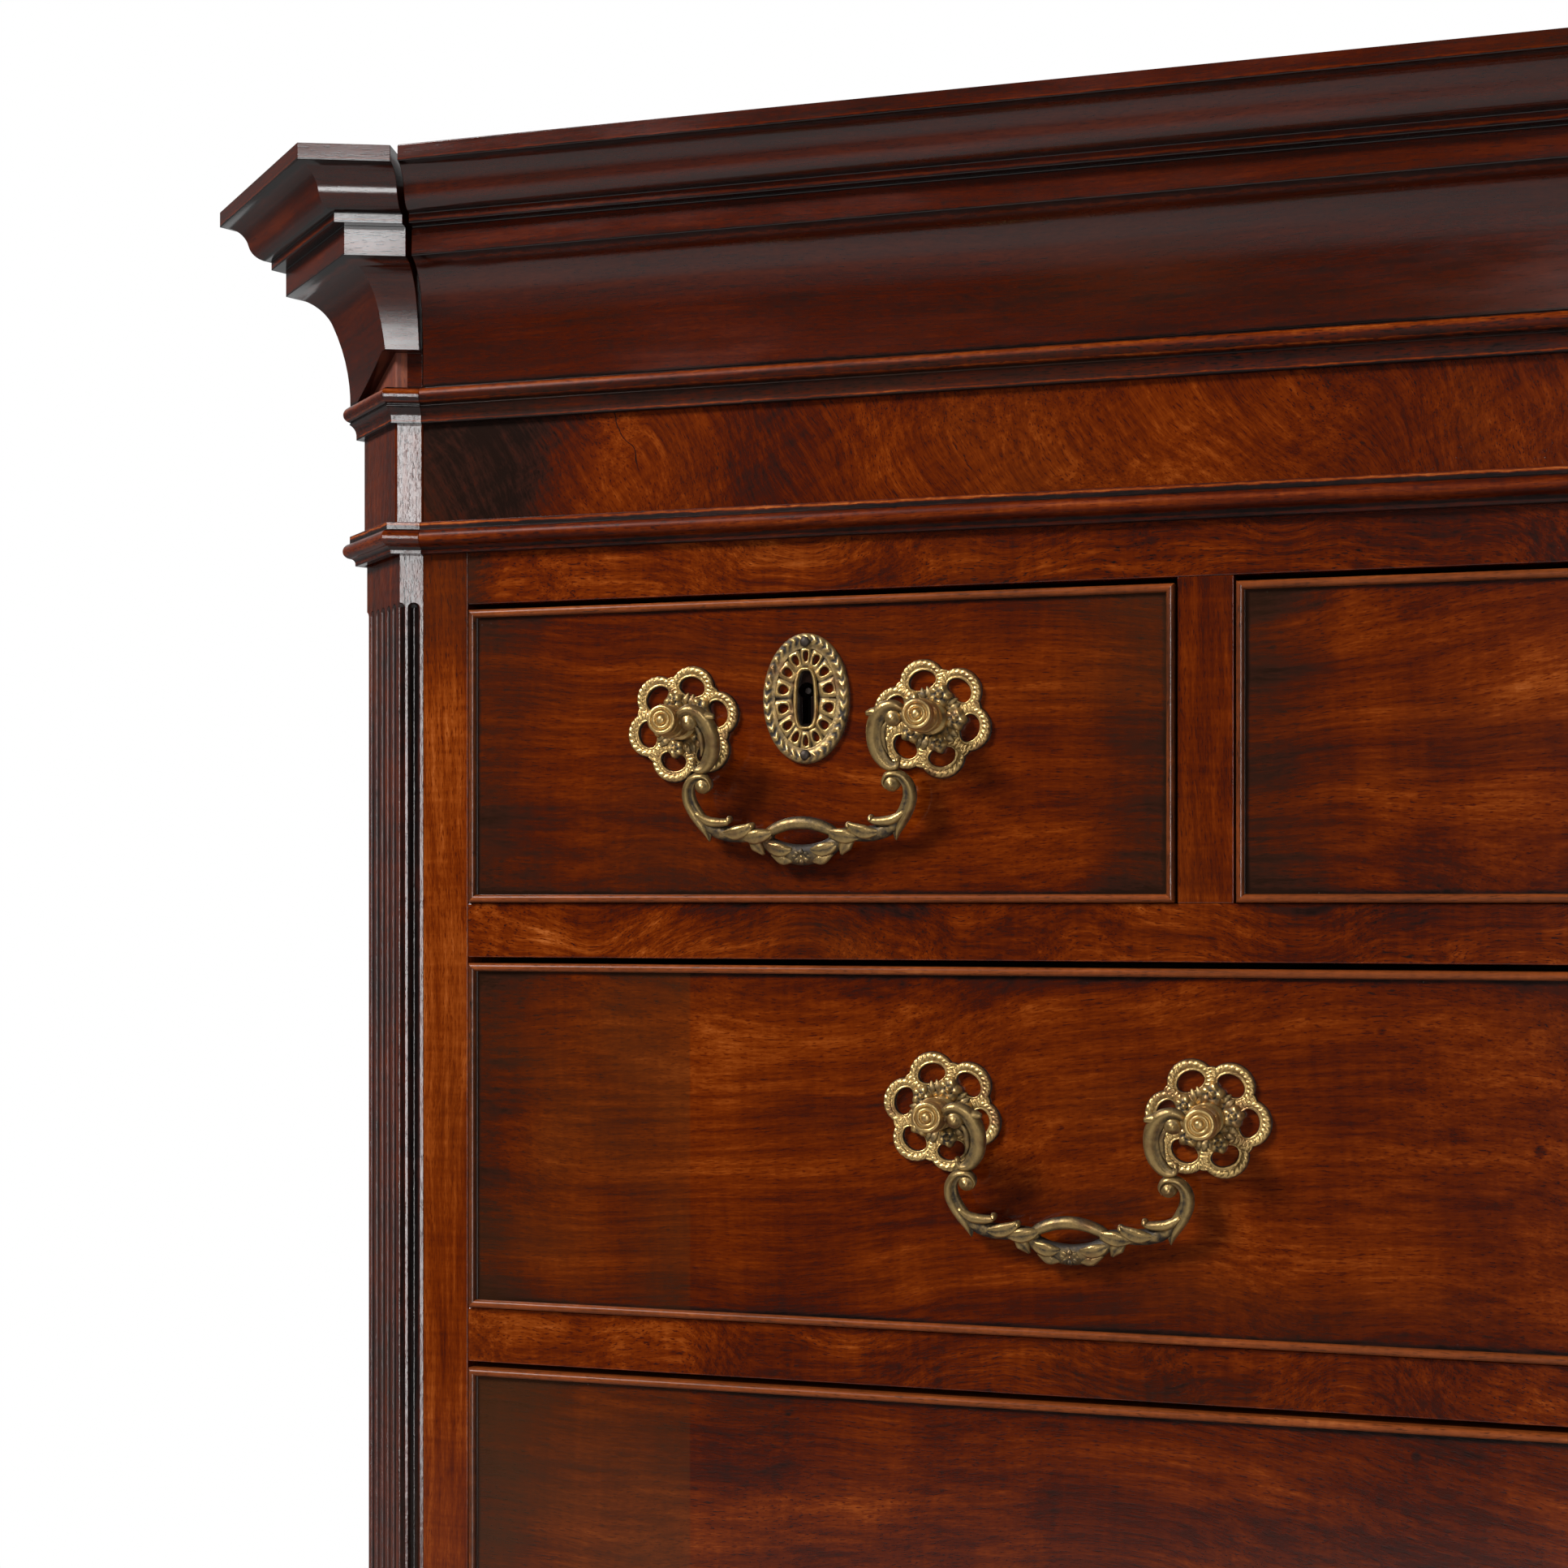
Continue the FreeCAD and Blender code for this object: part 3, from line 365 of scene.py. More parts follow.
def mahogany(
    name, slow=(1, 0, 0), tone=0.5, seed=0.0, bands=0.15, streaks=0.17, mottle=0.06, pores=0.24,
    flare=0.07, sweep=0.004, sweep_scale=5.0, tilt=0.0, shade=None, gloss=0.12, shine=0.5,
    relief=1.0, lumps=0.0, tones=None,
):
    """Polished mahogany. The grain is noise that changes slowly along the wood, on the axes flagged
    in slow, and fast across it: broad bands, streaks, fibres and short dark pores. Mottle and the
    finer flare are figure across the grain. All of them shift one tone between dark and light, and so
    does the tone shift that shade gives, which holds wear and dirt and, on several pieces, painted
    shade and painted sheen; shade also says how dusty, how dulled and how rough it is. Lumps are the
    blisters of old polish."""
    material = bpy.data.materials.new(name)
    wood = Finish(material)
    place = wood.place()
    here = wood.vector("ADD", place, (seed, seed * 0.37, seed * 0.71))
    if tilt:
        turn = {"Vector": here, "Angle": math.radians(tilt)}
        here = wood.node("VectorRotate", {"rotation_type": "Y_AXIS"}, turn)
    waver = wood.clouds(here, sweep_scale, 2.0, 0.35) * sweep
    here = wood.vector("ADD", here, wood.scaled(tuple(1 - s for s in slow), waver))

    def stretched(lengthwise, crosswise):
        return wood.vector("MULTIPLY", here, tuple(lengthwise if s else crosswise for s in slow))

    band = wood.noise(stretched(3.0, 55.0), 3.0, 0.62)
    streak = wood.noise(stretched(20.0, 420.0), 3.0, 0.68)
    fibre = wood.noise(stretched(260.0, 1500.0), 2.0, 0.7)
    pore = wood.noise(stretched(280.0, 2000.0), 1.0, 0.4).between(0.34, 0.80)
    patch = wood.noise(stretched(26.0, 8.0), 2.0, 0.5)
    ripple = wood.noise(stretched(300.0, 34.0), 3.0, 0.6)
    level = tone + band * bands + streak * streaks + fibre * 0.08 + patch * mottle + ripple * flare
    level = level - pore * (0.6 + band * 0.6) * pores
    age = shade(wood, place, *wood.parts(place)) if shade else {}
    # the tone shift from shade holds wear and dirt and, on several pieces, painted shade and painted
    # sheen
    level = level + age.get("wear", 0.0)
    colour = wood.node("ValToRGB", {"stops": tones or dark_to_light}, {0: level})
    if not tones:
        dull = wood.noise(stretched(6.0, 19.0), 2.0, 0.5).between(-0.1, 1.0) * 0.3
        dull = dull + age.get("faded", 0.0)
        colour = wood.mix(dull, colour, wood.mix(0.5, colour, dull_brown))
    polish = gloss + streak * 0.01 + age.get("rough", 0.0)
    if "dust" in age:
        colour = wood.mix(age["dust"], colour, house_dust)
        polish = polish + age["dust"] * 0.4
    height = fibre * 0.3 + streak * 0.4 - pore * 0.6
    if lumps:
        height = height + wood.clouds(place, 240.0, 4.0, 0.62) * lumps
    bump = wood.node("Bump", {}, {"Height": height, "Distance": 0.00002 * relief, "Strength": 0.35})
    skin = wood.node("BsdfPrincipled", {}, {
        "Base Color": colour, "Roughness": polish, "Normal": bump, "IOR": 1.6,
        "Specular IOR Level": shine,
    })
    wood.node("OutputMaterial", {}, {"Surface": skin})
    return material


upright, level_round, front_to_back = (0, 0, 1), (1, 1, 0), (0, 1, 0)
side_wood = mahogany("side_wood", upright, tone=0.50, bands=0.12, sweep=0.012, mottle=0.09)
board_wood = mahogany("board_wood", tone=0.42, seed=3.1)
for case in ("upper", "lower"):
    sides, boards = f"{case}_sides", f"{case}_top_and_bottom"
    from_solids(f"{case}_case_sides", solids(sides), 0.8 * MM, side_wood, sides)
    from_solids(f"{case}_case_boards", solids(boards), 0.8 * MM, board_wood, boards)

# ---------------------------------------------------------------- backs, runners and drawer boxes
# Secondary wood that is never polished: pale oak boards, sawn and planed, gone brown with age. Each
# back board is its own piece with its own grain.

pale_tones = [
    (0.0, (0.055, 0.020, 0.008)),
    (0.4, (0.20, 0.088, 0.034)),
    (0.7, (0.35, 0.175, 0.075)),
    (1.0, (0.50, 0.29, 0.14)),
]
raw = {"tones": pale_tones, "gloss": 0.62, "flare": 0.02, "mottle": 0.08}
for index, board in enumerate(solids("back_boards")):
    back_wood = mahogany(
        f"back_wood_{index}", upright, tone=0.46 + 0.08 * math.sin(index * 2.3), seed=index * 2.7,
        bands=0.16, **raw,
    )
    from_solids(f"back_{index}", [board], 1.0 * MM, back_wood, "back_boards")
runner_wood = mahogany("runner_wood", front_to_back, tone=0.4, **raw)
box_wood = mahogany("box_wood", front_to_back, tone=0.55, **raw)
runners = solids("drawer_runners")
from_solids("runners", runners, 0.8 * MM, runner_wood, "drawer_runners")

# ---------------------------------------------------------------- face frames
# Stiles and muntins upright, rails between them: straight-grained mahogany, full of dark pores, with
# its brightest wood at the outer stiles and, at the head of each of them, a painted shadow under the
# bead moulding.


def frame_wear_and_shadow(wood, place, x, y, z):
    """Clouds of old polish, a painted shadow at the head of each outer stile under the bead moulding,
    darker and duller, and dark muntins. The rails darken towards their middles, and the top rail
    more, from its left end on."""
    cloud = wood.clouds(place, 13.0, 3.0, 0.6)
    below = bead_foot - z + cloud * 0.010
    # painted shadow: darker and duller wood from the bead moulding down the head of each outer stile
    shadow = below.between(0.070, 0.012) * abs(x).between(0.49, 0.51)
    darker = below.between(0.03, 0.02) * x.between(-0.42, -0.15)
    inner = abs(x).between(0.50, 0.40) * below.between(0.020, 0.024) * below.between(0.150, 0.140)
    fade = abs(x).between(0.48, 0.15)
    wear = cloud * 0.07 - shadow * 0.33 - darker * 0.14 - inner * 0.16 - fade * 0.07
    return {"wear": wear, "faded": shadow * 0.4}


def tall_and_wide(parts):
    """The solids that are taller than they are wide, and the others."""
    tall, wide = [], []
    for part in parts:
        size = np.ptp(part[0], axis=0)
        (tall if size[2] > size[0] else wide).append(part)
    return tall, wide


bead_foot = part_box("frieze_mouldings")[0].z
stile_wood = mahogany(
    "stile_wood", upright, tone=0.715, bands=0.19, streaks=0.17, pores=0.26, seed=1.3, sweep=0.006,
    shade=frame_wear_and_shadow,
)
rail_wood = mahogany(
    "rail_wood", tone=0.59, bands=0.23, streaks=0.22, pores=0.38, seed=2.2, sweep=0.020,
    sweep_scale=11.0, shade=frame_wear_and_shadow,
)
for case in ("upper", "lower"):
    node = f"{case}_face_frame"
    tall, wide = tall_and_wide(solids(node))
    from_solids(f"{case}_stiles", tall, 0.5 * MM, stile_wood, node)
    from_solids(f"{case}_rails", wide, 0.5 * MM, rail_wood, node)

# ---------------------------------------------------------------- corner posts
# Canted corner posts of the upper case, fluted with a round-nosed plane. Old wax and dirt fill the
# flutes, which are darkened deeper in as painted shade too, and the ribs between them are rubbed
# bright.

facet_turns = (-22.5, 45.0, 112.5)  # of the post's three faces, round from the front, in degrees
flute_depth = 2.0 * MM


def depth_in_flutes(hand):
    """How far each point lies behind the nearest of the post's three faces: for each face, its
    furthest reach along its own normal less the point's."""
    turns = np.radians(facet_turns)
    normals = np.stack([hand * np.sin(turns), -np.cos(turns)])

    def hollow(points):
        reach = points[:, :2] @ normals
        return (reach.max(0) - reach).min(1)

    return hollow


def flute_dirt_and_shade(wood, place, x, y, z):
    hollow = wood.node("Attribute", {"attribute_name": "hollow"}, {}, "Fac")
    rim = flute_depth * 0.2
    # the flutes darken with their depth: dirt and painted shade together
    grime_and_shade = hollow.between(rim, flute_depth * 0.8)
    rib = hollow.between(rim, 0.0)
    cloud = wood.clouds(place, 25.0, 3.0, 0.6)
    canted = y.between(post_front + 4 * MM, post_front + 6 * MM)
    matt = hollow.between(0.0, rim) * canted * 0.16
    return {"wear": rib * 0.05 - grime_and_shade * 0.34 + cloud * 0.07, "rough": matt}


post_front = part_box("fluted_post_left")[0].y
crazed = {"relief": 1.5, "lumps": 2.4}
post_wood = mahogany(
    "post_wood", upright, tone=0.38, seed=4.4, gloss=0.14, shine=0.4, shade=flute_dirt_and_shade, **crazed
)
for hand, side in ((-1, "left"), (1, "right")):
    node = f"fluted_post_{side}"
    from_solids(
        f"{side}_post", solids(node), 0.3 * MM, post_wood, node, depth_in_flutes(hand)
    )

# ---------------------------------------------------------------- frieze
# Flat band of flame-figured veneer, near black at its ends and glowing beside them, with a canted
# block at either end. Where the cornice has broken away, the block's clean wood shows above. Painted
# shade darkens the band along its foot and under the astragal.

frieze_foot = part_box("frieze")[0].z
half_front = 528.0 * MM
cornice_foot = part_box("cornice_front")[0].z
astragal_foot = cornice_foot - 14.3 * MM
crack_place = 0.1086  # metres in from the end of the band, at its foot


def flame_wear_and_shade(wood, place, x, y, z):
    rise = z - frieze_foot
    ragged = wood.clouds(place, 28.0, 3.0, 0.55)
    inside = half_front - abs(x) + ragged * 0.009
    dark = inside.between(0.086, 0.030)
    lean = inside - rise * 0.9
    glow = lean.between(0.020, 0.045) * lean.between(0.095, 0.05)
    dusk = lean.between(0.080, 0.110) * lean.between(0.175, 0.13)
    clouds = wood.noise(wood.vector("MULTIPLY", place, (16.0, 1.0, 9.0)), 2.0, 0.5)
    # painted shade: darker within 16 mm of the band's foot and of the astragal's foot above
    edge = rise.lower(astragal_foot - z).between(0.016, 0.0)
    crack = abs(inside + rise * 0.5 - crack_place).between(0.0005, 0.0001)
    crack = crack * rise.between(0.028, 0.034)
    wear = glow * 0.12 - dusk * 0.12 - dark * 0.47 + clouds * 0.13 - edge * 0.05 - crack * 0.5
    return {"wear": wear, "faded": dark * 0.14}


def block_wear(wood, place, x, y, z):
    bare = z.between(cornice_foot - 0.5 * MM, cornice_foot + 0.5 * MM)
    cloud = wood.clouds(place, 60.0, 3.0, 0.6)
    return {"wear": bare * 0.20 + cloud * 0.05, "rough": bare * 0.6}


flame_wood = mahogany(
    "flame_wood", tone=0.575, seed=5.7, bands=0.15, streaks=0.18, mottle=0.03, pores=0.34,
    tilt=-57.0, sweep=0.020, sweep_scale=9.0, shade=flame_wear_and_shade,
)
block_wood = mahogany(
    "block_wood", upright, tone=0.44, seed=9.4, gloss=0.14, shade=block_wear, **crazed
)
front, *blocks = sorted(solids("frieze"), key=lambda part: -np.ptp(part[0][:, 0]))
from_solids("frieze_band", [front], 0.5 * MM, flame_wood, "frieze")
from_solids("frieze_blocks", blocks, 0.8 * MM, block_wood, "frieze")

# ---------------------------------------------------------------- mouldings and feet
# Astragal and bead above the drawers, waist and base mouldings, and the bracket feet, all worked in
# the solid with the grain along their length. Dirt and painted shade lie dark in every quirk, and the
# arrises between are rubbed to a thin orange line. Only the corners have kept their polish.


def profile_wear_shade_and_sheen(foot, lines):
    """Level lines that darken (dirt and painted shade in the quirks) or lighten (rubbed wood, and on
    the cornice also painted sheen): height above a foot and half width in millimetres, and change of
    tone, each fading out from its middle."""

    def shade(wood, place, x, y, z):
        cloud = wood.noise(wood.vector("MULTIPLY", place, (9.0, 9.0, 40.0)), 4.0, 0.62)
        total = cloud * 0.07
        fast = wood.vector("MULTIPLY", place, (160.0, 160.0, 900.0))
        ragged = wood.noise(fast, 2.0, 0.6) * 0.0003
        for height, half, change in lines:
            off = abs(z + ragged - (foot + height * MM))
            total = total + off.between(half * MM, half * 0.25 * MM) * change
        return {"wear": total, "rough": cloud.between(-0.6, 1.0) * 0.12}

    return shade


# narrow dark lines are dirt and painted shade in the quirks, narrow light ones rubbed arrises; the
# wide ones change the tone of a whole roll
moulding_lines = [
    (0.0, 1.3, -0.3), (2.0, 1.1, -0.32), (10.2, 1.5, -0.42), (13.6, 1.2, -0.38), (11.8, 0.7, 0.40),
    (6.2, 2.2, 0.16),
]
astragal_rise = (astragal_foot - bead_foot) / MM
moulding_lines += [
    (astragal_rise + height, half, change)
    for height, half, change in (
        (0.0, 1.0, -0.36), (1.0, 0.5, 0.36), (7.0, 0.8, -0.36), (14.2, 1.0, -0.36),
        (12.4, 1.9, 0.40), (8.4, 0.5, 0.36), (7.0, 14.0, -0.2),
    )
]
fine = {"seed": 6.1, "pores": 0.36, "streaks": 0.2, "bands": 0.08}
fine["shade"] = profile_wear_shade_and_sheen(bead_foot, moulding_lines)
fine_wood = mahogany("fine_wood", level_round, tone=0.46, shine=0.36, **crazed, **fine)
dull_wood = mahogany("dull_wood", level_round, tone=0.45, gloss=0.36, shine=0.07, **fine)
moulding_wood = mahogany("moulding_wood", level_round, tone=0.50, seed=6.6, shade=frame_wear_and_shadow)
node = "frieze_mouldings"
lengths = [part for part in solids(node) if np.ptp(part[0][:, 0]) > half_front]
corners = [part for part in solids(node) if np.ptp(part[0][:, 0]) <= half_front]
for name, parts, wood in (("front", lengths, dull_wood), ("corner", corners, fine_wood)):
    from_solids(f"{name}_bead_and_astragal", parts, 0.3 * MM, wood, node)
for node in ("waist_moulding", "base_moulding", "bracket_feet"):
    from_solids(f"{node}_wood", solids(node), 0.4 * MM, moulding_wood, node)

# ---------------------------------------------------------------- cornice
# Coved cornice with a fascia and a cyma above, in long lengths: the darkest wood of all, from smoke
# and polish, with thin rubbed lines along its arrises, dirt and painted shade in its quirks, and
# painted sheen on the upper cove and the top of the cyma.

# narrow dark lines are dirt and painted shade in the quirks, narrow light ones rubbed arrises; the
# wide light bands at 38 and 71 mm are painted sheen on the upper cove and the cyma, and the one at 53
# mm lightens the wood a little
cornice_lines = [
    (0.0, 1.6, -0.30), (47.5, 0.8, -0.28), (46.4, 0.5, 0.20), (59.0, 0.9, -0.32), (60.4, 0.5, 0.22),
    (62.9, 0.7, -0.30), (78.0, 0.8, -0.30), (78.9, 0.5, 0.16), (53.0, 4.5, 0.07),
    (38.0, 9.0, 0.08), (71.0, 6.5, 0.08),
]
cornice_wood = mahogany(
    "cornice_wood", level_round, tone=0.31, seed=8.3, bands=0.08, streaks=0.10, mottle=0.03,
    flare=0.02, pores=0.12, shine=0.42, shade=profile_wear_shade_and_sheen(cornice_foot, cornice_lines),
)
for node in ("cornice_front", "cornice_left", "cornice_right"):
    from_solids(f"{node}_wood", solids(node), 0.5 * MM, cornice_wood, node)

# ---------------------------------------------------------------- drawers
# Figured mahogany fronts in a frame of cockbeads, over plain oak boxes. Polish and dirt have gone
# dark along the edges, and dust lies inside the beads. Close inside the beads runs a dark line of
# dirt and painted shade, and the veneer behind the keyhole is painted near black as shade.

bead_width = 3.2 * MM
key_drop = 39.6 * MM  # from the top of the drawer front down to the middle of its keyhole


def drawer_wear_and_shade(front):
    """Grime of one drawer's veneer, with painted shade inside its beads and behind its keyhole; its
    two end leaves, where it is long, have faded duller.
    """
    low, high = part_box(front)
    middle, key_z = (low.x + high.x) / 2, high.z - key_drop
    end_leaf = 0.095 if high.x - low.x > 0.5 else -1.0

    def shade(wood, place, x, y, z):
        ragged = wood.clouds(place, 30.0, 4.0, 0.65)
        from_side = (x - low.x).lower(high.x - x)
        from_end = (z - low.z).lower(high.z - z)
        side = (from_side + ragged * 0.009).between(0.052, 0.002)
        end = (from_end + ragged * 0.006).between(0.021, 0.002)
        near = from_side.lower(from_end) - bead_width
        # a dark line close inside the beads: dirt and painted shade in the corner they make with the
        # veneer
        line = (near + ragged * 0.0005).between(0.0022, 0.0003)
        # painted shade: the veneer seen through the keyhole slot of the escutcheon is made near black
        keyhole_shade = abs(x - middle).between(0.0037, 0.0032) * abs(z - key_z).between(0.0114, 0.0108)
        clouds = wood.clouds(place, 11.0, 2.0, 0.5)
        cells = wood.node("TexVoronoi", {}, {"Vector": place, "Scale": 17.0})
        knot = cells.between(0.045, 0.022)
        specks = wood.clouds(place, 1500.0, 1.0, 0.5).between(0.95, 1.25)
        dust = specks * near.between(0.0045, 0.0) * 0.6
        wear = clouds * 0.055 - side * 0.24 - end * 0.17 - line * 0.28
        wear = wear - knot * 0.25 - keyhole_shade * 1.2
        leaf = from_side.between(end_leaf + 0.0004, end_leaf - 0.0004)
        faded = leaf * clouds.between(-0.8, 0.6) * 0.75 + side * 0.3
        return {"wear": wear - leaf * 0.01, "dust": dust, "faded": faded}

    return shade


bead_tones = [
    (0.0, (0.022, 0.008, 0.004)),
    (0.3, (0.075, 0.018, 0.005)),
    (0.65, (0.20, 0.045, 0.009)),
    (1.0, (0.38, 0.125, 0.032)),
]
drawer_tones = {
    "upper_long_2": 0.46, "short_centre": 0.51, "lower_long_1": 0.53, "lower_long_3": 0.50,
}
fronts = {node.removesuffix("_front") for node in frame["nodes"] if node.endswith("_front")}
drawers = sorted(fronts - {"cornice"})
for index, drawer in enumerate(drawers):
    front = f"{drawer}_front"
    board, *beads = solids(front)
    seed = 10.0 + index * 1.7
    veneer = mahogany(
        f"{drawer}_veneer", tone=drawer_tones.get(drawer, 0.55), seed=seed, sweep=0.020,
        mottle=0.10, bands=0.22, flare=0.045, tilt=4.0 * math.sin(index * 2.1 + 2.0),
        shade=drawer_wear_and_shade(front),
    )
    tall, wide = tall_and_wide(beads)
    bead = {"tones": bead_tones, "pores": 0.4, "bands": 0.10}
    wide_bead = mahogany(
        f"{drawer}_wide_bead", tone=0.58, seed=seed + 0.5, gloss=0.3, shine=0.12, **bead
    )
    tall_bead = mahogany(
        f"{drawer}_tall_bead", upright, tone=0.34, seed=seed + 0.9, gloss=0.2, **bead
    )
    from_solids(f"{drawer}_board", [board], 0.3 * MM, veneer, front)
    from_solids(f"{drawer}_wide_beads", wide, 0.3 * MM, wide_bead, front)
    from_solids(f"{drawer}_tall_beads", tall, 0.3 * MM, tall_bead, front)
    box_node = f"{drawer}_box"
    from_solids(f"{drawer}_case", solids(box_node), 0.6 * MM, box_wood, box_node)

# ---------------------------------------------------------------- handle posts
# Turned brass posts, screwed through the drawer's front and held by a nut behind it. The head is
# turned in rings round a small boss; it has no bore, and the bail's pins run straight into it.


def disc(turn, radius, rise, x=0.0, z=0.0):
    """Points round a centre, each at its angle, radius and rise off the drawer's front."""
    places = x + radius * np.cos(turn), -rise, z + radius * np.sin(turn)
    return np.stack(np.broadcast_arrays(*places), 2)


def weave(points, round_u=False, round_v=False):
    """Quads between the rows (u) and columns (v) of a grid of points; either way may close."""
    rows, columns = points.shape[:2]
    number = np.arange(rows * columns).reshape(rows, columns)
    if round_u:
        number = np.concatenate([number, number[:1]])
    if round_v:
        number = np.concatenate([number, number[:, :1]], 1)
    corners = number[:-1, :-1], number[1:, :-1], number[1:, 1:], number[:-1, 1:]
    return np.stack([c.ravel() for c in corners], 1)


def casting(surfaces):
    """Joins surfaces, each (points, faces, height), into one closed mesh with its faces outwards.
    Height, 0 in a hollow and 1 on a crest, says where hands have rubbed the brass bright; on the bail
    it is also set low, as painted shade, where parts lie behind others."""
    mesh = joined("pattern", [(points.reshape(-1, 3), faces) for points, faces, _ in surfaces])
    heights = [np.broadcast_to(height, points.shape[:-1]).ravel() for points, _, height in surfaces]
    mark(mesh, "height", np.concatenate(heights))
    shape = bmesh.new()
    shape.from_mesh(mesh)
    bmesh.ops.remove_doubles(shape, verts=shape.verts, dist=1e-4)
    bmesh.ops.dissolve_degenerate(shape, edges=shape.edges, dist=1e-5)
    bmesh.ops.recalc_face_normals(shape, faces=shape.faces)
    shape.to_mesh(mesh)
    shape.free()
    mesh.polygons.foreach_set("use_smooth", np.ones(len(mesh.polygons), bool))
    return mesh


def placed(name, pattern, place, body, material, node, turn=0.0, lean=0.0):
    """A copy of a casting in millimetres, turned about its post, leaned in and set in place."""
    mesh = pattern.copy()
    mesh.name = name
    turned_by = Matrix.Rotation(math.radians(turn), 4, "Y")
    swing = Matrix.Rotation(math.radians(lean), 4, "X") @ turned_by
    mesh.transform(Matrix.Translation(place) @ Matrix.Scale(MM, 4) @ swing)
    mesh.materials.append(material)
    piece = linked(name, mesh)
    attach(piece, body)
    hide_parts(node)


def turned(profile, segments=40, lift=1.0):
    """Surface of revolution about Y: each (radius, out) of the profile runs round a full circle."""
    radius, out = np.array(profile, float).T
    angle = np.arange(segments) / segments * math.tau
    points = disc(angle, radius[:, None], out[:, None])
    return points, weave(points, round_v=True), lift


def old_brass(name="old_brass", bright=(0.56, 0.370, 0.140), dirt_and_shade=(0.024, 0.017, 0.012)):
    """Cast brass under old lacquer: rubbed bright on its crests, brown and dull in its hollows."""
    material = bpy.data.materials.new(name)
    metal = Finish(material)
    height = metal.node("Attribute", {"attribute_name": "height"}, {}, "Fac")
    here = metal.place()
    patches = metal.clouds(here, 110.0, 3.0, 0.6)
    clouds = metal.clouds(here, 330.0, 3.0, 0.6)
    specks = metal.clouds(here, 1500.0, 2.0, 0.6)
    # how bright each point is: rubbed crests, patina in hollows, and on the bail painted shade where
    # parts lie behind others
    rubbed_and_shaded = (height + clouds * 0.26 + patches * 0.18 + specks * 0.10).between(0.0, 0.95)
    brown = tuple(part * share for part, share in zip(bright, (0.52, 0.42, 0.46)))
    tarnish = metal.mix(patches.between(-0.1, 0.9), bright, brown)
    colour = metal.mix(rubbed_and_shaded, dirt_and_shade, tarnish)
    grain = {"Height": specks * 0.7 + clouds, "Distance": 0.00006, "Strength": 0.6}
    bump = metal.node("Bump", {}, grain)
    skin = metal.node("BsdfPrincipled", {}, {
        "Base Color": colour, "Metallic": 0.45 + rubbed_and_shaded * 0.4,
        "Roughness": 0.58 - rubbed_and_shaded * 0.26 + specks * 0.05, "Normal": bump,
    })
    metal.node("OutputMaterial", {}, {"Surface": skin})
    return material


brass = old_brass()
bail_brass = old_brass("bail_brass", (0.40, 0.262, 0.098))
post_profile = [
    (0, -25), (2.2, -25), (2.5, -24.6), (2.5, -24), (2.5, 0), (6.4, 0), (6.4, 4.6), (6, 5),
    (5, 5.4), (4.6, 6.2), (4.6, 8.6), (5, 9.1), (5.6, 9.6), (5.8, 10.4), (5.6, 11.2), (5, 11.7),
    (4.7, 12.2), (4.7, 13.6), (5.2, 14.3), (6.2, 15), (6.6, 16), (6.6, 17.4), (6.3, 18.1),
    (5.7, 18.4), (5.7, 18.9), (6.2, 19.3), (6.3, 20), (6.1, 20.6), (6, 23.6), (6.1, 24.5),
    (5.8, 25), (5.6, 25.3), (5.6, 25.8), (5.8, 26.1), (5.75, 27.2), (5.65, 27.7), (5.4, 28.05),
    (4.7, 28.15), (4.3, 27.9), (4.1, 27.2), (3.8, 27.15), (3.65, 27.8), (3.3, 28.25), (2.8, 28.3),
    (2.45, 27.9), (2.3, 27.3), (2.05, 27.25), (1.85, 27.8), (1.6, 28.5), (1, 28.9), (0, 29),
]
post = casting([turned(post_profile)])
nut_profile = [(2.5, -20), (6.1, -20), (6.5, -20.4), (6.5, -23.6), (6.1, -24), (2.5, -24)]
nut = casting([turned(nut_profile, 24)])

# ---------------------------------------------------------------- roses
# Cast and pierced roses under the posts: six loops run together, each with a roped rim and a smooth
# inner lip, and in the middle a wreath of flowers and leaves. Each was fixed at the angle it fell.


def circle(count):
    """Angles at equal steps round a full circle."""
    return np.linspace(0, math.tau, count, endpoint=False)


def polar(around, across):
    """Angles round a circle, as rows, and shares of the way across a band, as columns."""
    return circle(around)[:, None], np.linspace(0, 1, across)[None, :]


def hem(grid, value=None):
    """The grid with one more column at each side: its edge again, or a value."""
    if value is None:
        return np.pad(grid, ((0, 0), (1, 1)), "edge")
    return np.pad(grid, ((0, 0), (1, 1)), constant_values=value)


def bulge(x, centre, width):
    """A smooth bump of height 1 about a centre, gone one width away on either side."""
    return np.cos(np.clip((x - centre) / width, -1, 1) * math.pi / 2) ** 2


def roping(phase):
    """Rounded strands, 1 along their backs, with narrow cuts between."""
    return np.abs(np.sin(phase)) ** 0.7


loops_out = 14.6  # radius on which the loops' centres stand
strands = 22  # of rope round each loop


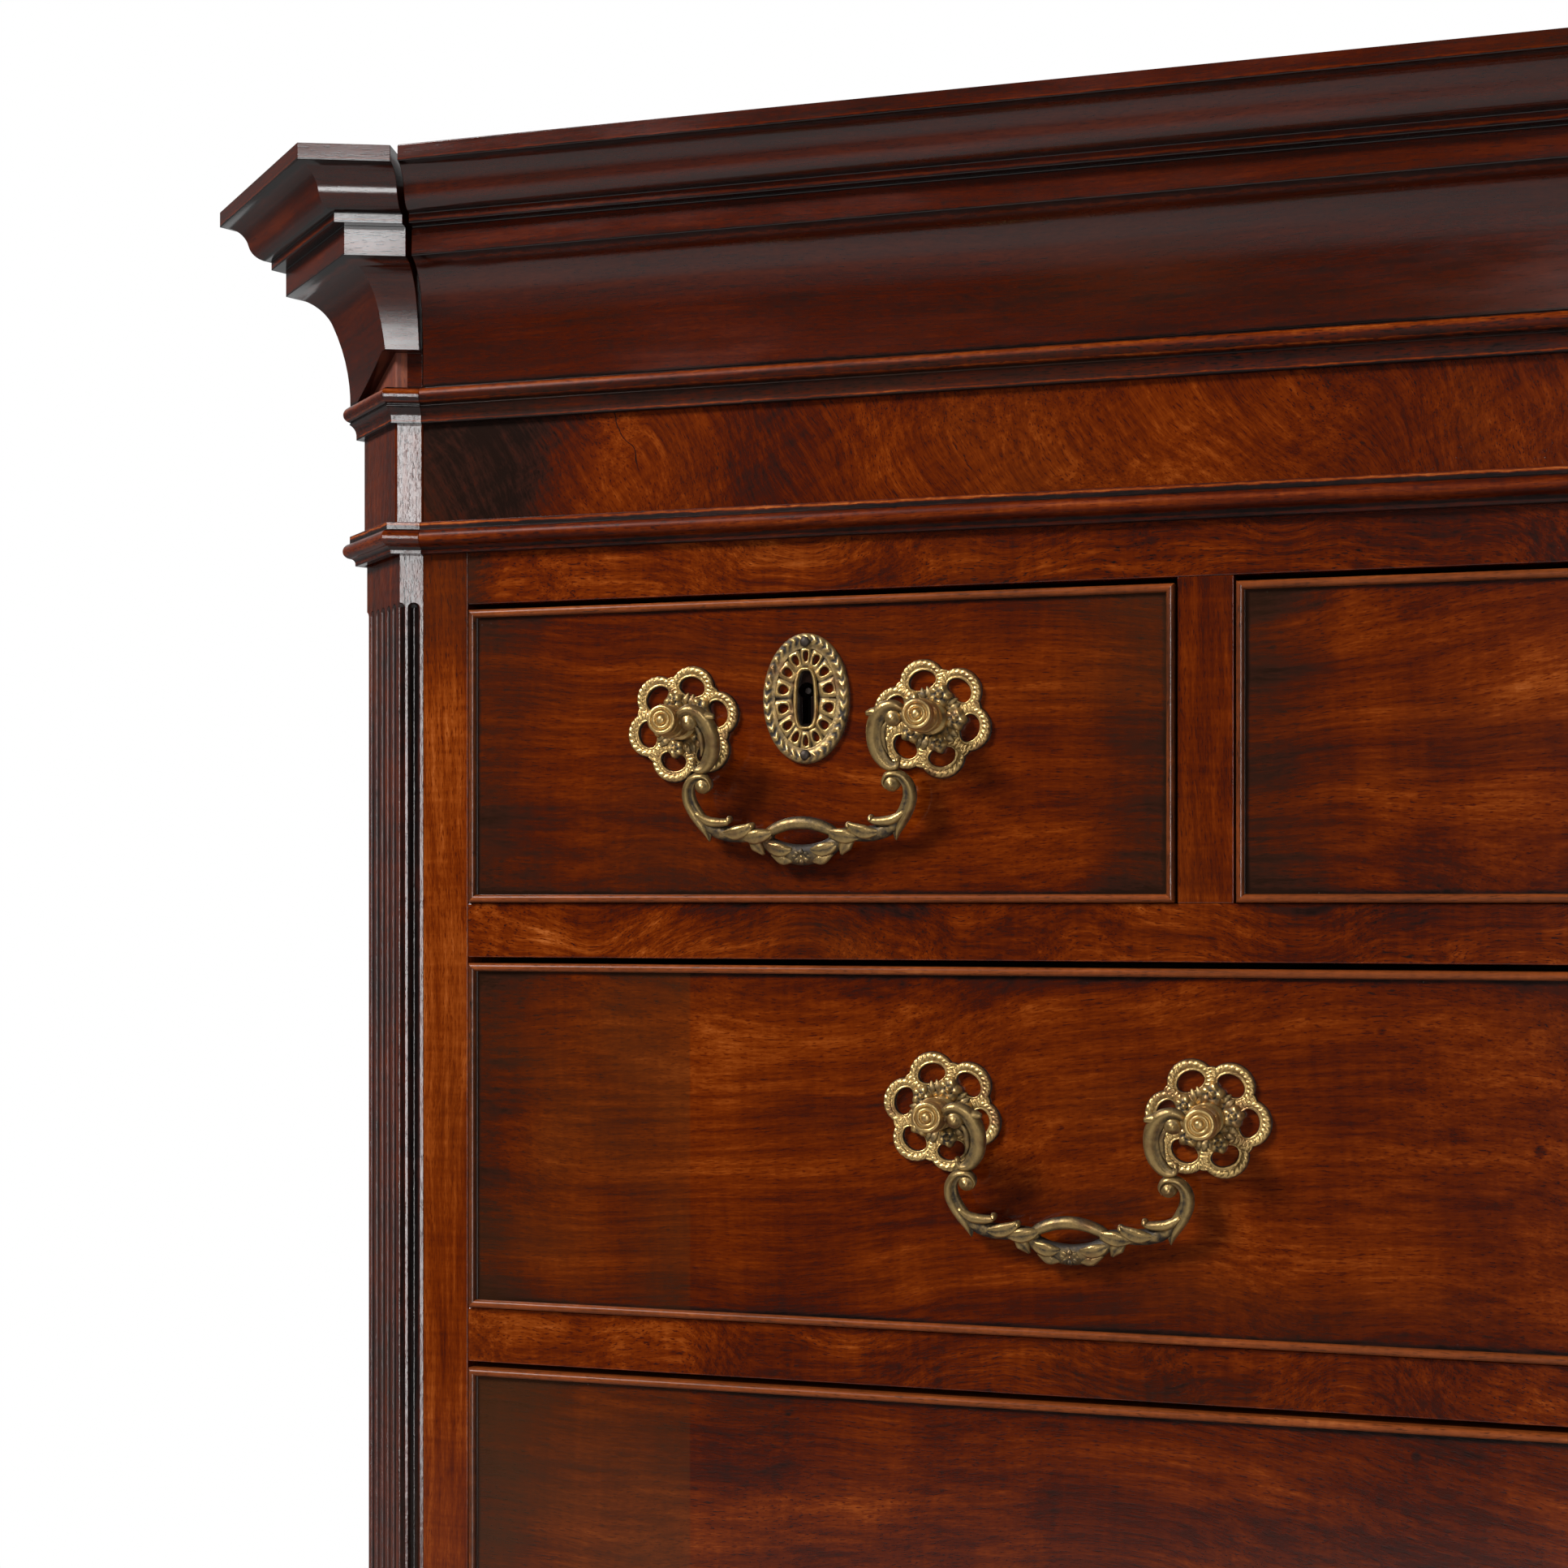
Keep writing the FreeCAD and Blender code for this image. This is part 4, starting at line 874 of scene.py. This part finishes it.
def rose_loop(angle):
    """One loop: round its own centre runs a band with a smooth lip inside and slanting strands
    outside. Its hole is a rounded D, flat towards the middle of the rose."""
    turn, share = polar(96, 12)
    outward = 0.5 + 0.5 * np.cos(turn)
    rope = roping(turn * strands / 2 + share * 4.6)
    field = np.clip((share - 0.26) / 0.1, 0, 1) * np.clip((1.0 - share) / 0.12, 0, 1)
    rise = 1.5 + 0.95 * bulge(share, 0.13, 0.16) + field * (0.15 + (0.45 + 0.5 * outward) * rope)
    rise = rise + 0.5 * bulge(share, 0.62, 0.45) * outward
    rise[:, [0, -1]] = 0.0
    band = 3.3 + 1.5 * outward
    inner = np.where(np.cos(turn) > 0, 4.2, 3.0) * np.cos(turn)
    along = loops_out + inner + band * share * np.cos(turn)
    across = 5.2 * np.sin(turn) + band * 0.92 * share * np.sin(turn)
    x = along * math.cos(angle) - across * math.sin(angle)
    z = along * math.sin(angle) + across * math.cos(angle)
    points = np.stack([x, -rise, z], 2)
    return points, weave(points, round_u=True, round_v=True), rise - 1.15


def rose_web(angle):
    """The casting between two loops: a roped tongue that fills the notch out to the rim."""
    out = np.linspace(0, 1, 22)[:, None]
    side = np.linspace(-1, 1, 9)[None, :]
    radius = 12.0 + 7.6 * out * (1 - 0.10 * side**2)
    turn = angle + side * (2.1 + 1.0 * out) / radius
    rope = roping(out * 15 + side * 1.1)
    rise = 1.45 + (0.35 + 0.75 * rope) * (1 - side**2) ** 0.5
    rise[[0, -1]] = 0.0
    rise[:, [0, -1]] = 0.0
    points = disc(turn, radius, rise)
    return points, weave(points), rise - 1.15


def flower(x, z, size, base):
    """Small rose: a dome whose height and rim swell into five whorled petals round a button."""
    turn, share = polar(30, 9)
    whorl = np.cos(turn * 5 - share * 2.2)
    radius = size * share * (1 + 0.13 * whorl * share)
    rise = base + size * (0.50 * np.sqrt(1 - share**2) + 0.10 * whorl * bulge(share, 0.62, 0.42))
    rise = rise + size * 0.22 * bulge(share, 0.0, 0.28) - size * 0.16 * bulge(share, 0.36, 0.12)
    skirt = np.zeros_like(rise[:, :1])
    rise = np.concatenate([rise, skirt], 1)
    radius = np.concatenate([np.broadcast_to(radius, (30, 9)), radius[:, -1:]], 1)
    points = disc(turn, radius, rise, x, z)
    crest = 0.55 + 0.45 * whorl * bulge(share, 0.62, 0.5)
    crest = crest - 0.7 * bulge(share, 0.36, 0.14) + 0.2 * (1 - share)
    return points, weave(points, round_u=True), np.concatenate([crest, skirt], 1)


def through(points, count):
    """Smooth line through chosen points (Catmull and Rom's cubic), as count points along it."""
    chosen = np.array(points, float)
    before, after = 2 * chosen[:1] - chosen[1:2], 2 * chosen[-1:] - chosen[-2:-1]
    chosen = np.concatenate([before, chosen, after])
    at = np.linspace(0, len(points) - 1 - 1e-9, count)
    span = at.astype(int)
    t = (at - span)[:, None]
    a, b, c, d = (chosen[span + k] for k in range(4))
    square, cube = 2 * a - 5 * b + 4 * c - d, 3 * b - a - 3 * c + d
    return 0.5 * (2 * b + (c - a) * t + square * t**2 + cube * t**3)


def swept(
    line, count, around, groove=0.0, beside=0.0, ribs=0.0, pitch=6.0, square=1.0, rubbed_and_shaded=0.0,
):
    """Bar along a smooth line. Each chosen point is (x, z, out, half width, half depth). The section
    is an ellipse across the line, its front hollowed by a groove, beside its middle by a share of the
    half width, or cut with slanting ribs. Rubbed and shaded makes the bar brighter where it is
    rubbed, or darker, as patina and as painted shade where it lies behind other parts."""
    flow = through(line, count)
    centre, half, depth = flow[:, :3], np.abs(flow[:, 3]), np.abs(flow[:, 4])
    along = np.gradient(centre[:, :2], axis=0)
    along /= np.linalg.norm(along, axis=1)[:, None] + 1e-9
    turn = circle(around)
    side = np.sign(np.cos(turn)) * np.abs(np.cos(turn)) ** square
    front = np.sin(turn)
    step = np.linalg.norm(np.diff(centre[:, :2], axis=0), axis=1)
    run = np.concatenate([[0], np.cumsum(step)])[:, None]
    facing = np.clip(front, 0, 1)
    cut = ribs * np.cos(run * math.tau / pitch + np.abs(side) * 4.0) * facing
    hollow = groove * np.exp(-(((side - beside) / 0.34) ** 2)) * facing**0.5
    out = centre[:, 2:3] + depth[:, None] * (front - hollow + cut)
    across = half[:, None] * side
    x = centre[:, :1] - along[:, 1:] * across
    z = centre[:, 1:2] + along[:, :1] * across
    points = np.stack([x, -out, z], 2)
    tips = points.mean(1, keepdims=True)
    ends = np.repeat(tips[:1], around, 1), np.repeat(tips[-1:], around, 1)
    points = np.concatenate([ends[0], points, ends[1]])
    height = rubbed_and_shaded + 0.10 + 0.55 * front - 1.1 * hollow + 1.6 * cut
    height = np.concatenate([height[:1], height, height[-1:]])
    return points, weave(points, round_v=True), height


def wreath():
    """Bumpy ring about the foot of the post, carrying the flowers and their leaves."""
    turn, share = polar(64, 8)
    lumps = np.cos(turn * 11 + 3 * np.cos(turn * 3)) * np.cos(share * 6 + turn * 2)
    rise = 1.9 + 0.7 * np.sin(share * math.pi) + 0.55 * lumps * np.sin(share * math.pi)
    radius = 5.9 + 5.6 * share + 0.35 * lumps
    points = disc(turn, hem(radius), hem(rise, 0))
    crest = hem(np.broadcast_to(lumps, (64, 8)), 0)
    return points, weave(points, round_u=True, round_v=True), 0.35 + 0.5 * crest


def rose():
    """The whole rose, as cast."""
    surfaces = [wreath()]
    for k in range(6):
        surfaces += [rose_loop(math.radians(60 * k)), rose_web(math.radians(60 * k + 30))]
    flowers = [(4.4, 9.3), (3.8, 9.6), (4.2, 9.2), (3.5, 10.0), (4.1, 9.5)]  # radius, place
    for k, (size, reach) in enumerate(flowers):
        turn = math.radians(72 * k + 24)
        surfaces.append(flower(reach * math.cos(turn), reach * math.sin(turn), size, 3.0))
        for lean in (-0.44, 0.40):
            leaf = []
            for far, bend, *section in (
                (7.4, 0, 2.0, 0.5, 0.5), (9.8, 0.2, 2.5, 1.5, 1.0), (12.6, 0.3, 2.0, 0.3, 0.4),
            ):
                a = turn + lean + lean * bend
                leaf.append((far * math.cos(a), far * math.sin(a), *section))
            surfaces.append(swept(leaf, 9, 10, groove=0.35))
    return casting(surfaces)


# ---------------------------------------------------------------- bails
# Cast bail handles: on each side two opposed scrolls and a leafy stem, and an open grip between a
# plain arched bar and a bow of leaves with a rosette. They hang in the posts on short pins.


def knob(x, z, out, radius, depth):
    """Round boss with a raised middle, facing forward: the eye of a scroll."""
    turn, share = polar(20, 8)
    dome = np.sqrt(1 - share**2 * 0.98) + 0.14 * bulge(share, 0.0, 0.45)
    rise = depth * (dome - 0.10 * bulge(share, 0.62, 0.22))
    radius = np.concatenate([radius * share, [[radius]]], 1)
    rise = np.concatenate([np.broadcast_to(out + rise, (20, 8)), np.full((20, 1), out - depth)], 1)
    points = disc(turn, radius, rise, x, z)
    crest = np.broadcast_to(1 - 0.5 * bulge(share, 0.62, 0.25), (20, 8))
    return points, weave(points, round_u=True), np.pad(crest, ((0, 0), (0, 1)))


def pin(x0, x1, radius):
    """Round pin along X between two places on the pivot's axis."""
    turn = circle(16)
    points = np.stack([
        np.stack([np.full(16, x), r * np.cos(turn), r * np.sin(turn)], 1)
        for x, r in [(x0, 0.0), (x0, radius), (x1, radius), (x1, 0.0)]
    ])
    return points, weave(points, round_v=True), 0.6


def bail():
    """The whole bail about its pivot axis, hanging straight down."""
    upper_scroll = [
        (45.2, 0.2, 0.4, 0.7, 1.2), (43.9, 3, 0.8, 1.5, 2), (40.4, 4.3, 1, 2.1, 2.3),
        (36.2, 2.2, 0.8, 2.9, 2.6), (33.3, -3, 0.4, 3.3, 2.8), (32.5, -9, 0.2, 3.2, 2.8),
        (33.7, -14.6, 0.2, 3.1, 2.7), (36.6, -18.9, 0.2, 2.5, 2.5), (40, -19.6, 0.4, 1.5, 1.9),
        (41.2, -17.2, 0.6, 0.8, 1.2),
    ]
    thorn = [(36, 1.4, 1, 2.4, 2.2), (33, 1.6, 1, 1.9, 1.8), (30.2, 1.3, 1, 0.9, 1)]
    inner_leaf = [
        (38.6, -1.5, 1.4, 0.5, 0.8), (36.6, -5, 1.6, 1, 1.2), (36.4, -10.5, 1.2, 0.9, 1),
        (37.3, -14.5, 0.8, 0.3, 0.5),
    ]
    lower_scroll = [
        (35.7, -28.2, 1, 0.6, 1.2), (34.9, -25.6, 1, 1, 1.8), (37, -22.9, 0.8, 1.5, 2.3),
        (41.2, -23.4, 0.4, 1.9, 2.6), (44, -27.2, 0, 2.4, 2.7), (44.3, -32.2, 0, 2.8, 2.8),
        (42.4, -37.4, 0, 2.9, 2.8), (39.4, -42.2, 0.2, 2.8, 2.6), (38.2, -45.6, 0.2, 1.8, 2),
        (37.7, -49.2, 0.2, 0.25, 0.6),
    ]
    curl = [
        (42, -37.5, 0.4, 1, 1.6), (37.5, -40.6, 1, 1.9, 2), (33, -41.3, 1.2, 1.8, 2),
        (29.2, -40.9, 1.2, 1.3, 1.8), (28.2, -39.4, 1.2, 0.8, 1.3),
    ]
    stem = [
        (40, -41.6, -0.2, 1.4, 1.8), (34.4, -45, 0, 2.8, 2.6), (28, -46.6, 0, 3.1, 2.8),
        (21.5, -46.8, 0, 2.9, 2.8), (15.5, -47.4, 0, 2.9, 2.8), (11.5, -46.8, 0, 1.6, 2),
    ]
    stem_leaf = [
        (32, -45.4, 1.8, 0.6, 0.8), (26.6, -45.4, 2.4, 2.8, 1.8), (22, -44, 2.2, 2.4, 1.7),
        (19.2, -42, 1.8, 1, 1.2),
    ]
    grip_leaf = [
        (24, -47.6, 1.8, 0.6, 0.8), (19, -47, 2.6, 3, 1.9), (14.4, -46.2, 2.2, 2.5, 1.7),
        (10.6, -44.8, 1.2, 0.4, 0.6),
    ]
    low_leaf = [
        (21.5, -48, 1.2, 0.6, 0.8), (18, -50.4, 2.2, 2.8, 1.7), (15.6, -54.6, 1.2, 0.6, 0.7),
    ]
    bow = [
        (17.6, -47.6, 0, 1.6, 2), (12.8, -50.8, 0.2, 3.1, 2.6), (7.6, -53.6, 0.4, 3.8, 2.7),
        (0, -55, 0.5, 4.2, 2.8),
    ]
    bow_leaf = [
        (3.6, -52.2, 2.2, 0.6, 0.8), (7.6, -52.4, 2.8, 2.7, 1.5), (11.8, -51.4, 2.4, 2.4, 1.4),
        (15, -49.4, 1.4, 0.4, 0.7),
    ]
    bow_tip = [
        (4, -57, 2.2, 0.6, 0.8), (8, -56.2, 2.6, 2.1, 1.4), (12.4, -54.4, 1.6, 0.5, 0.7),
    ]
    bar = [
        (15, -47.4, 0, 1.6, 1.9), (11.4, -44.9, 0, 2.2, 2.3), (5.8, -42.7, 0, 2.4, 2.5),
        (0, -42, 0, 2.5, 2.5),
    ]
    petals = [(4.6, 0.0), (3.2, 2.1), (0.0, 3.3), (3.2, -2.1), (0.0, -3.4)]
    # the stem lies behind its leaves, so it is made darker, as patina and as painted shade
    half = [
        swept(upper_scroll, 44, 22, groove=0.38, beside=0.5, square=0.9, rubbed_and_shaded=0.2),
        swept(thorn, 12, 12, rubbed_and_shaded=0.2),
        swept(inner_leaf, 16, 10, groove=0.2),
        swept(lower_scroll, 44, 22, groove=0.55, beside=-0.35, rubbed_and_shaded=0.2),
        swept(curl, 20, 12, rubbed_and_shaded=0.2),
        swept(stem, 26, 14, ribs=0.10, pitch=5.0, rubbed_and_shaded=-0.3),
        swept(stem_leaf, 16, 12, groove=0.55, rubbed_and_shaded=0.3),
        swept(grip_leaf, 16, 12, groove=0.55, rubbed_and_shaded=0.3),
        swept(low_leaf, 12, 12, groove=0.5, rubbed_and_shaded=0.25),
        swept(bow_leaf, 18, 12, groove=0.6, rubbed_and_shaded=0.3),
        swept(bow_tip, 12, 10, groove=0.4, rubbed_and_shaded=0.25),
    ]
    bosses = [
        (40.6, -0.6, 0.8, 3.5, 3.1), (37.9, -26.4, 0.5, 3.3, 3.1), (28.5, -40.2, 1.4, 1.3, 1.6),
        (19.4, -42.8, 1.6, 1.2, 1.5), (40.9, -17.3, 0.6, 1.1, 1.4),
    ]
    half += [knob(*boss) for boss in bosses] + [pin(38.0, 49.4, 2.0)]
    mirrored = [(points * (-1, 1, 1), faces, height) for points, faces, height in half]
    bow, bar = (line + [(-x, *rest) for x, *rest in line[-2::-1]] for line in (bow, bar))
    # the bow lies behind its leaves, so it is made darker, as patina and as painted shade
    middle = [
        swept(bow, 40, 16, rubbed_and_shaded=-0.3), swept(bar, 40, 16), knob(0, -55.0, 2.6, 0.9, 0.9),
    ]
    for x, z in petals:
        for side in ((1, -1) if x else (1,)):
            line = [(side * x * t, -55.0 + z * t, 2.3 + 0.8 * lift, w, 0.7)
                    for t, lift, w in ((0.15, 0, 0.3), (0.6, 1, 1.1), (1.0, 0, 0.25))]
            middle.append(swept(line, 9, 8, groove=0.4))
    return casting(half + mirrored + middle)


# ---------------------------------------------------------------- escutcheons
# Cast oval keyhole plates: a leafy rim, fourteen petal-shaped piercings with raised lips, and a
# raised lip round the keyhole, pinned with two tacks.

piercings = 14


def oval(turn, half_width, half_height):
    return half_width * np.cos(turn), half_height * np.sin(turn)


def plate(x, z, rise, height):
    """Band over a grid of places, which stands off the drawer's front by its rise and closes
    underneath. Height is its brightness."""
    rise, height = (hem(np.broadcast_to(value, x.shape), 0) for value in (rise, height))
    points = np.stack([hem(x), -rise, hem(z)], 2)
    return points, weave(points, round_u=True, round_v=True), height


def ring(inner, outer, rise, height):
    """Band between two closed outlines, each (x, z), with the same number of points. Rise gives its
    section at equal steps across it, and height its brightness."""
    share = np.linspace(0, 1, np.shape(rise)[-1])
    x, z = (a[:, None] * (1 - share) + b[:, None] * share for a, b in zip(inner, outer))
    return plate(x, z, rise, height)


def escutcheon():
    """The whole plate, as cast."""
    turn, share = polar(220, 15)
    leaf = np.cos(turn * 34 - np.sign(np.sin(turn + 0.3)) * np.abs(share - 0.62) * 9)
    rise = 1.7 + 0.9 * bulge(share, 0.62, 0.5) + 0.42 * leaf * bulge(share, 0.6, 0.42)
    rise[:, -1] = 1.0
    inner, outer = (oval(turn[:, 0], *half) for half in ((12.4, 19.6), (17.5, 25.5)))
    surfaces = [ring(inner, outer, rise, 0.45 + 0.5 * leaf * bulge(share, 0.6, 0.5))]

    # the keyhole's lip: a long slot, a little wider at its foot
    a, b = oval(circle(60), 1, 1)
    slot_x = 3.3 * np.sign(a) * np.abs(a) ** 0.55 * (1 - 0.08 * b)
    slot_z = 10.9 * np.sign(b) * np.abs(b) ** 0.8
    lip = slot_x * 1.55, slot_z * 1.13
    rises, bright = [1.5, 2.5, 2.7, 2.3, 1.5], [0.5, 0.95, 1.0, 0.9, 0.2]
    surfaces.append(ring((slot_x, slot_z), lip, rises, bright))

    # between lip and rim: one petal to each piercing
    for k in range(piercings):
        surfaces.append(petal(math.tau * (k + 0.5) / piercings))
    return casting(surfaces)


def petal(middle):
    """Field round one piercing: from the hole's own outline out to the edges of its sector."""
    half_turn = math.pi / piercings
    inner_x, inner_z = oval(middle, 5.0, 12.0)
    outer_x, outer_z = oval(middle, 12.9, 20.2)
    cx, cz = (inner_x * 0.45 + outer_x * 0.55), (inner_z * 0.45 + outer_z * 0.55)
    out = np.array([outer_x - inner_x, outer_z - inner_z])
    reach = np.linalg.norm(out) / 2
    out = out / (2 * reach)
    side = np.array([-out[1], out[0]])
    # the sector's width there, from the ovals on either side
    left = np.array(oval(middle - half_turn, 9.2, 16.2))
    right = np.array(oval(middle + half_turn, 9.2, 16.2))
    spread = np.linalg.norm(right - left) / 2
    a, b = oval(circle(36), 1, 1)
    hole = np.stack([a * reach * 0.50, b * spread * (0.50 + 0.12 * a)], 1)
    square = np.maximum(np.abs(a), np.abs(b))
    flare = 1.04 + 0.16 * a / square
    edge = np.stack([a / square * reach * 1.02, b / square * spread * flare], 1)
    share = np.array([0.0, 0.12, 0.30, 0.48, 0.75, 1.0])
    rises = [1.3, 1.9, 2.05, 1.75, 1.35, 1.25]
    lip = [0.4, 0.95, 1.0, 0.75, 0.35, 0.3]
    flat = hole[:, None] * (1 - share)[None, :, None] + edge[:, None] * share[None, :, None]
    x = cx + flat[..., 0] * out[0] + flat[..., 1] * side[0]
    z = cz + flat[..., 0] * out[1] + flat[..., 1] * side[1]
    return plate(x, z, rises, lip)


# ---------------------------------------------------------------- brass on the drawers
# What is fixed to each drawer front: posts, roses and nuts, the escutcheon with its two tacks, and
# the lock let into its back. All hang from the drawer's own box and from the pivots of its bails.

post_spacing = 101.2 * MM
bail_lean = 19.0
bead_proud = 2.4 * MM
tack_rise = 22.1 * MM
lock_width = 56.0 * MM
rose_cast, bail_cast, escutcheon_cast = rose(), bail(), escutcheon()
tack_profile = [(0, 0.5), (0.8, 0.5), (0.8, 2.4), (2.1, 2.4), (2.0, 2.9), (1.3, 3.4), (0, 3.6)]
tack_cast = casting([turned(tack_profile, 18, 0.35)])
iron = old_brass("old_iron", (0.10, 0.075, 0.055), (0.02, 0.012, 0.008))
pivots = {
    joint["child"]: Vector(joint["pos_m"]) for joint in frame["record"]["behaviour"]["joints"]
    if joint["type"] == "hinge"
}


def fit_brass(drawer):
    """Places one drawer's brass from the pivots of its bails and the box of its front."""
    node = f"{drawer}_brass"
    body = body_of(node)
    low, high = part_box(f"{drawer}_front")
    plane = low.y + bead_proud
    for bail_node in sorted(name for name in pivots if name.startswith(f"{drawer}_bail")):
        hand, pivot = bail_node.removeprefix(f"{drawer}_bail"), pivots[bail_node]
        placed(f"{bail_node}_casting", bail_cast, pivot, body_of(bail_node), bail_brass, bail_node,
               lean=bail_lean)
        for side in (-1, 1):
            where = (pivot.x + side * post_spacing / 2, plane, pivot.z)
            name = f"{drawer}{hand}_{'right' if side > 0 else 'left'}"
            turn = rose_turns[side, hand != ""]
            placed(f"{name}_post", post, where, body, brass, node)
            placed(f"{name}_nut", nut, where, body, brass, node)
            placed(f"{name}_rose", rose_cast, where, body, brass, node, turn=turn)
    keyhole = Vector(((low.x + high.x) / 2, plane, high.z - key_drop))
    placed(f"{drawer}_escutcheon", escutcheon_cast, keyhole, body, brass, node)
    for name, rise in (("upper", tack_rise), ("lower", -tack_rise)):
        placed(f"{drawer}_{name}_tack", tack_cast, keyhole + Vector((0, 0, rise)), body, iron, node)
    lock = [part for part in solids(node) if np.ptp(part[0][:, 0]) > lock_width * 0.9]
    from_solids(f"{drawer}_lock", lock, 0.3 * MM, iron, node)


# the angles at which the roses happened to be fixed, by side, and whether the drawer is a long one
rose_turns = {(-1, False): -15.0, (1, False): -45.0, (-1, True): -45.0, (1, True): -55.0}
for drawer in drawers:
    fit_brass(drawer)
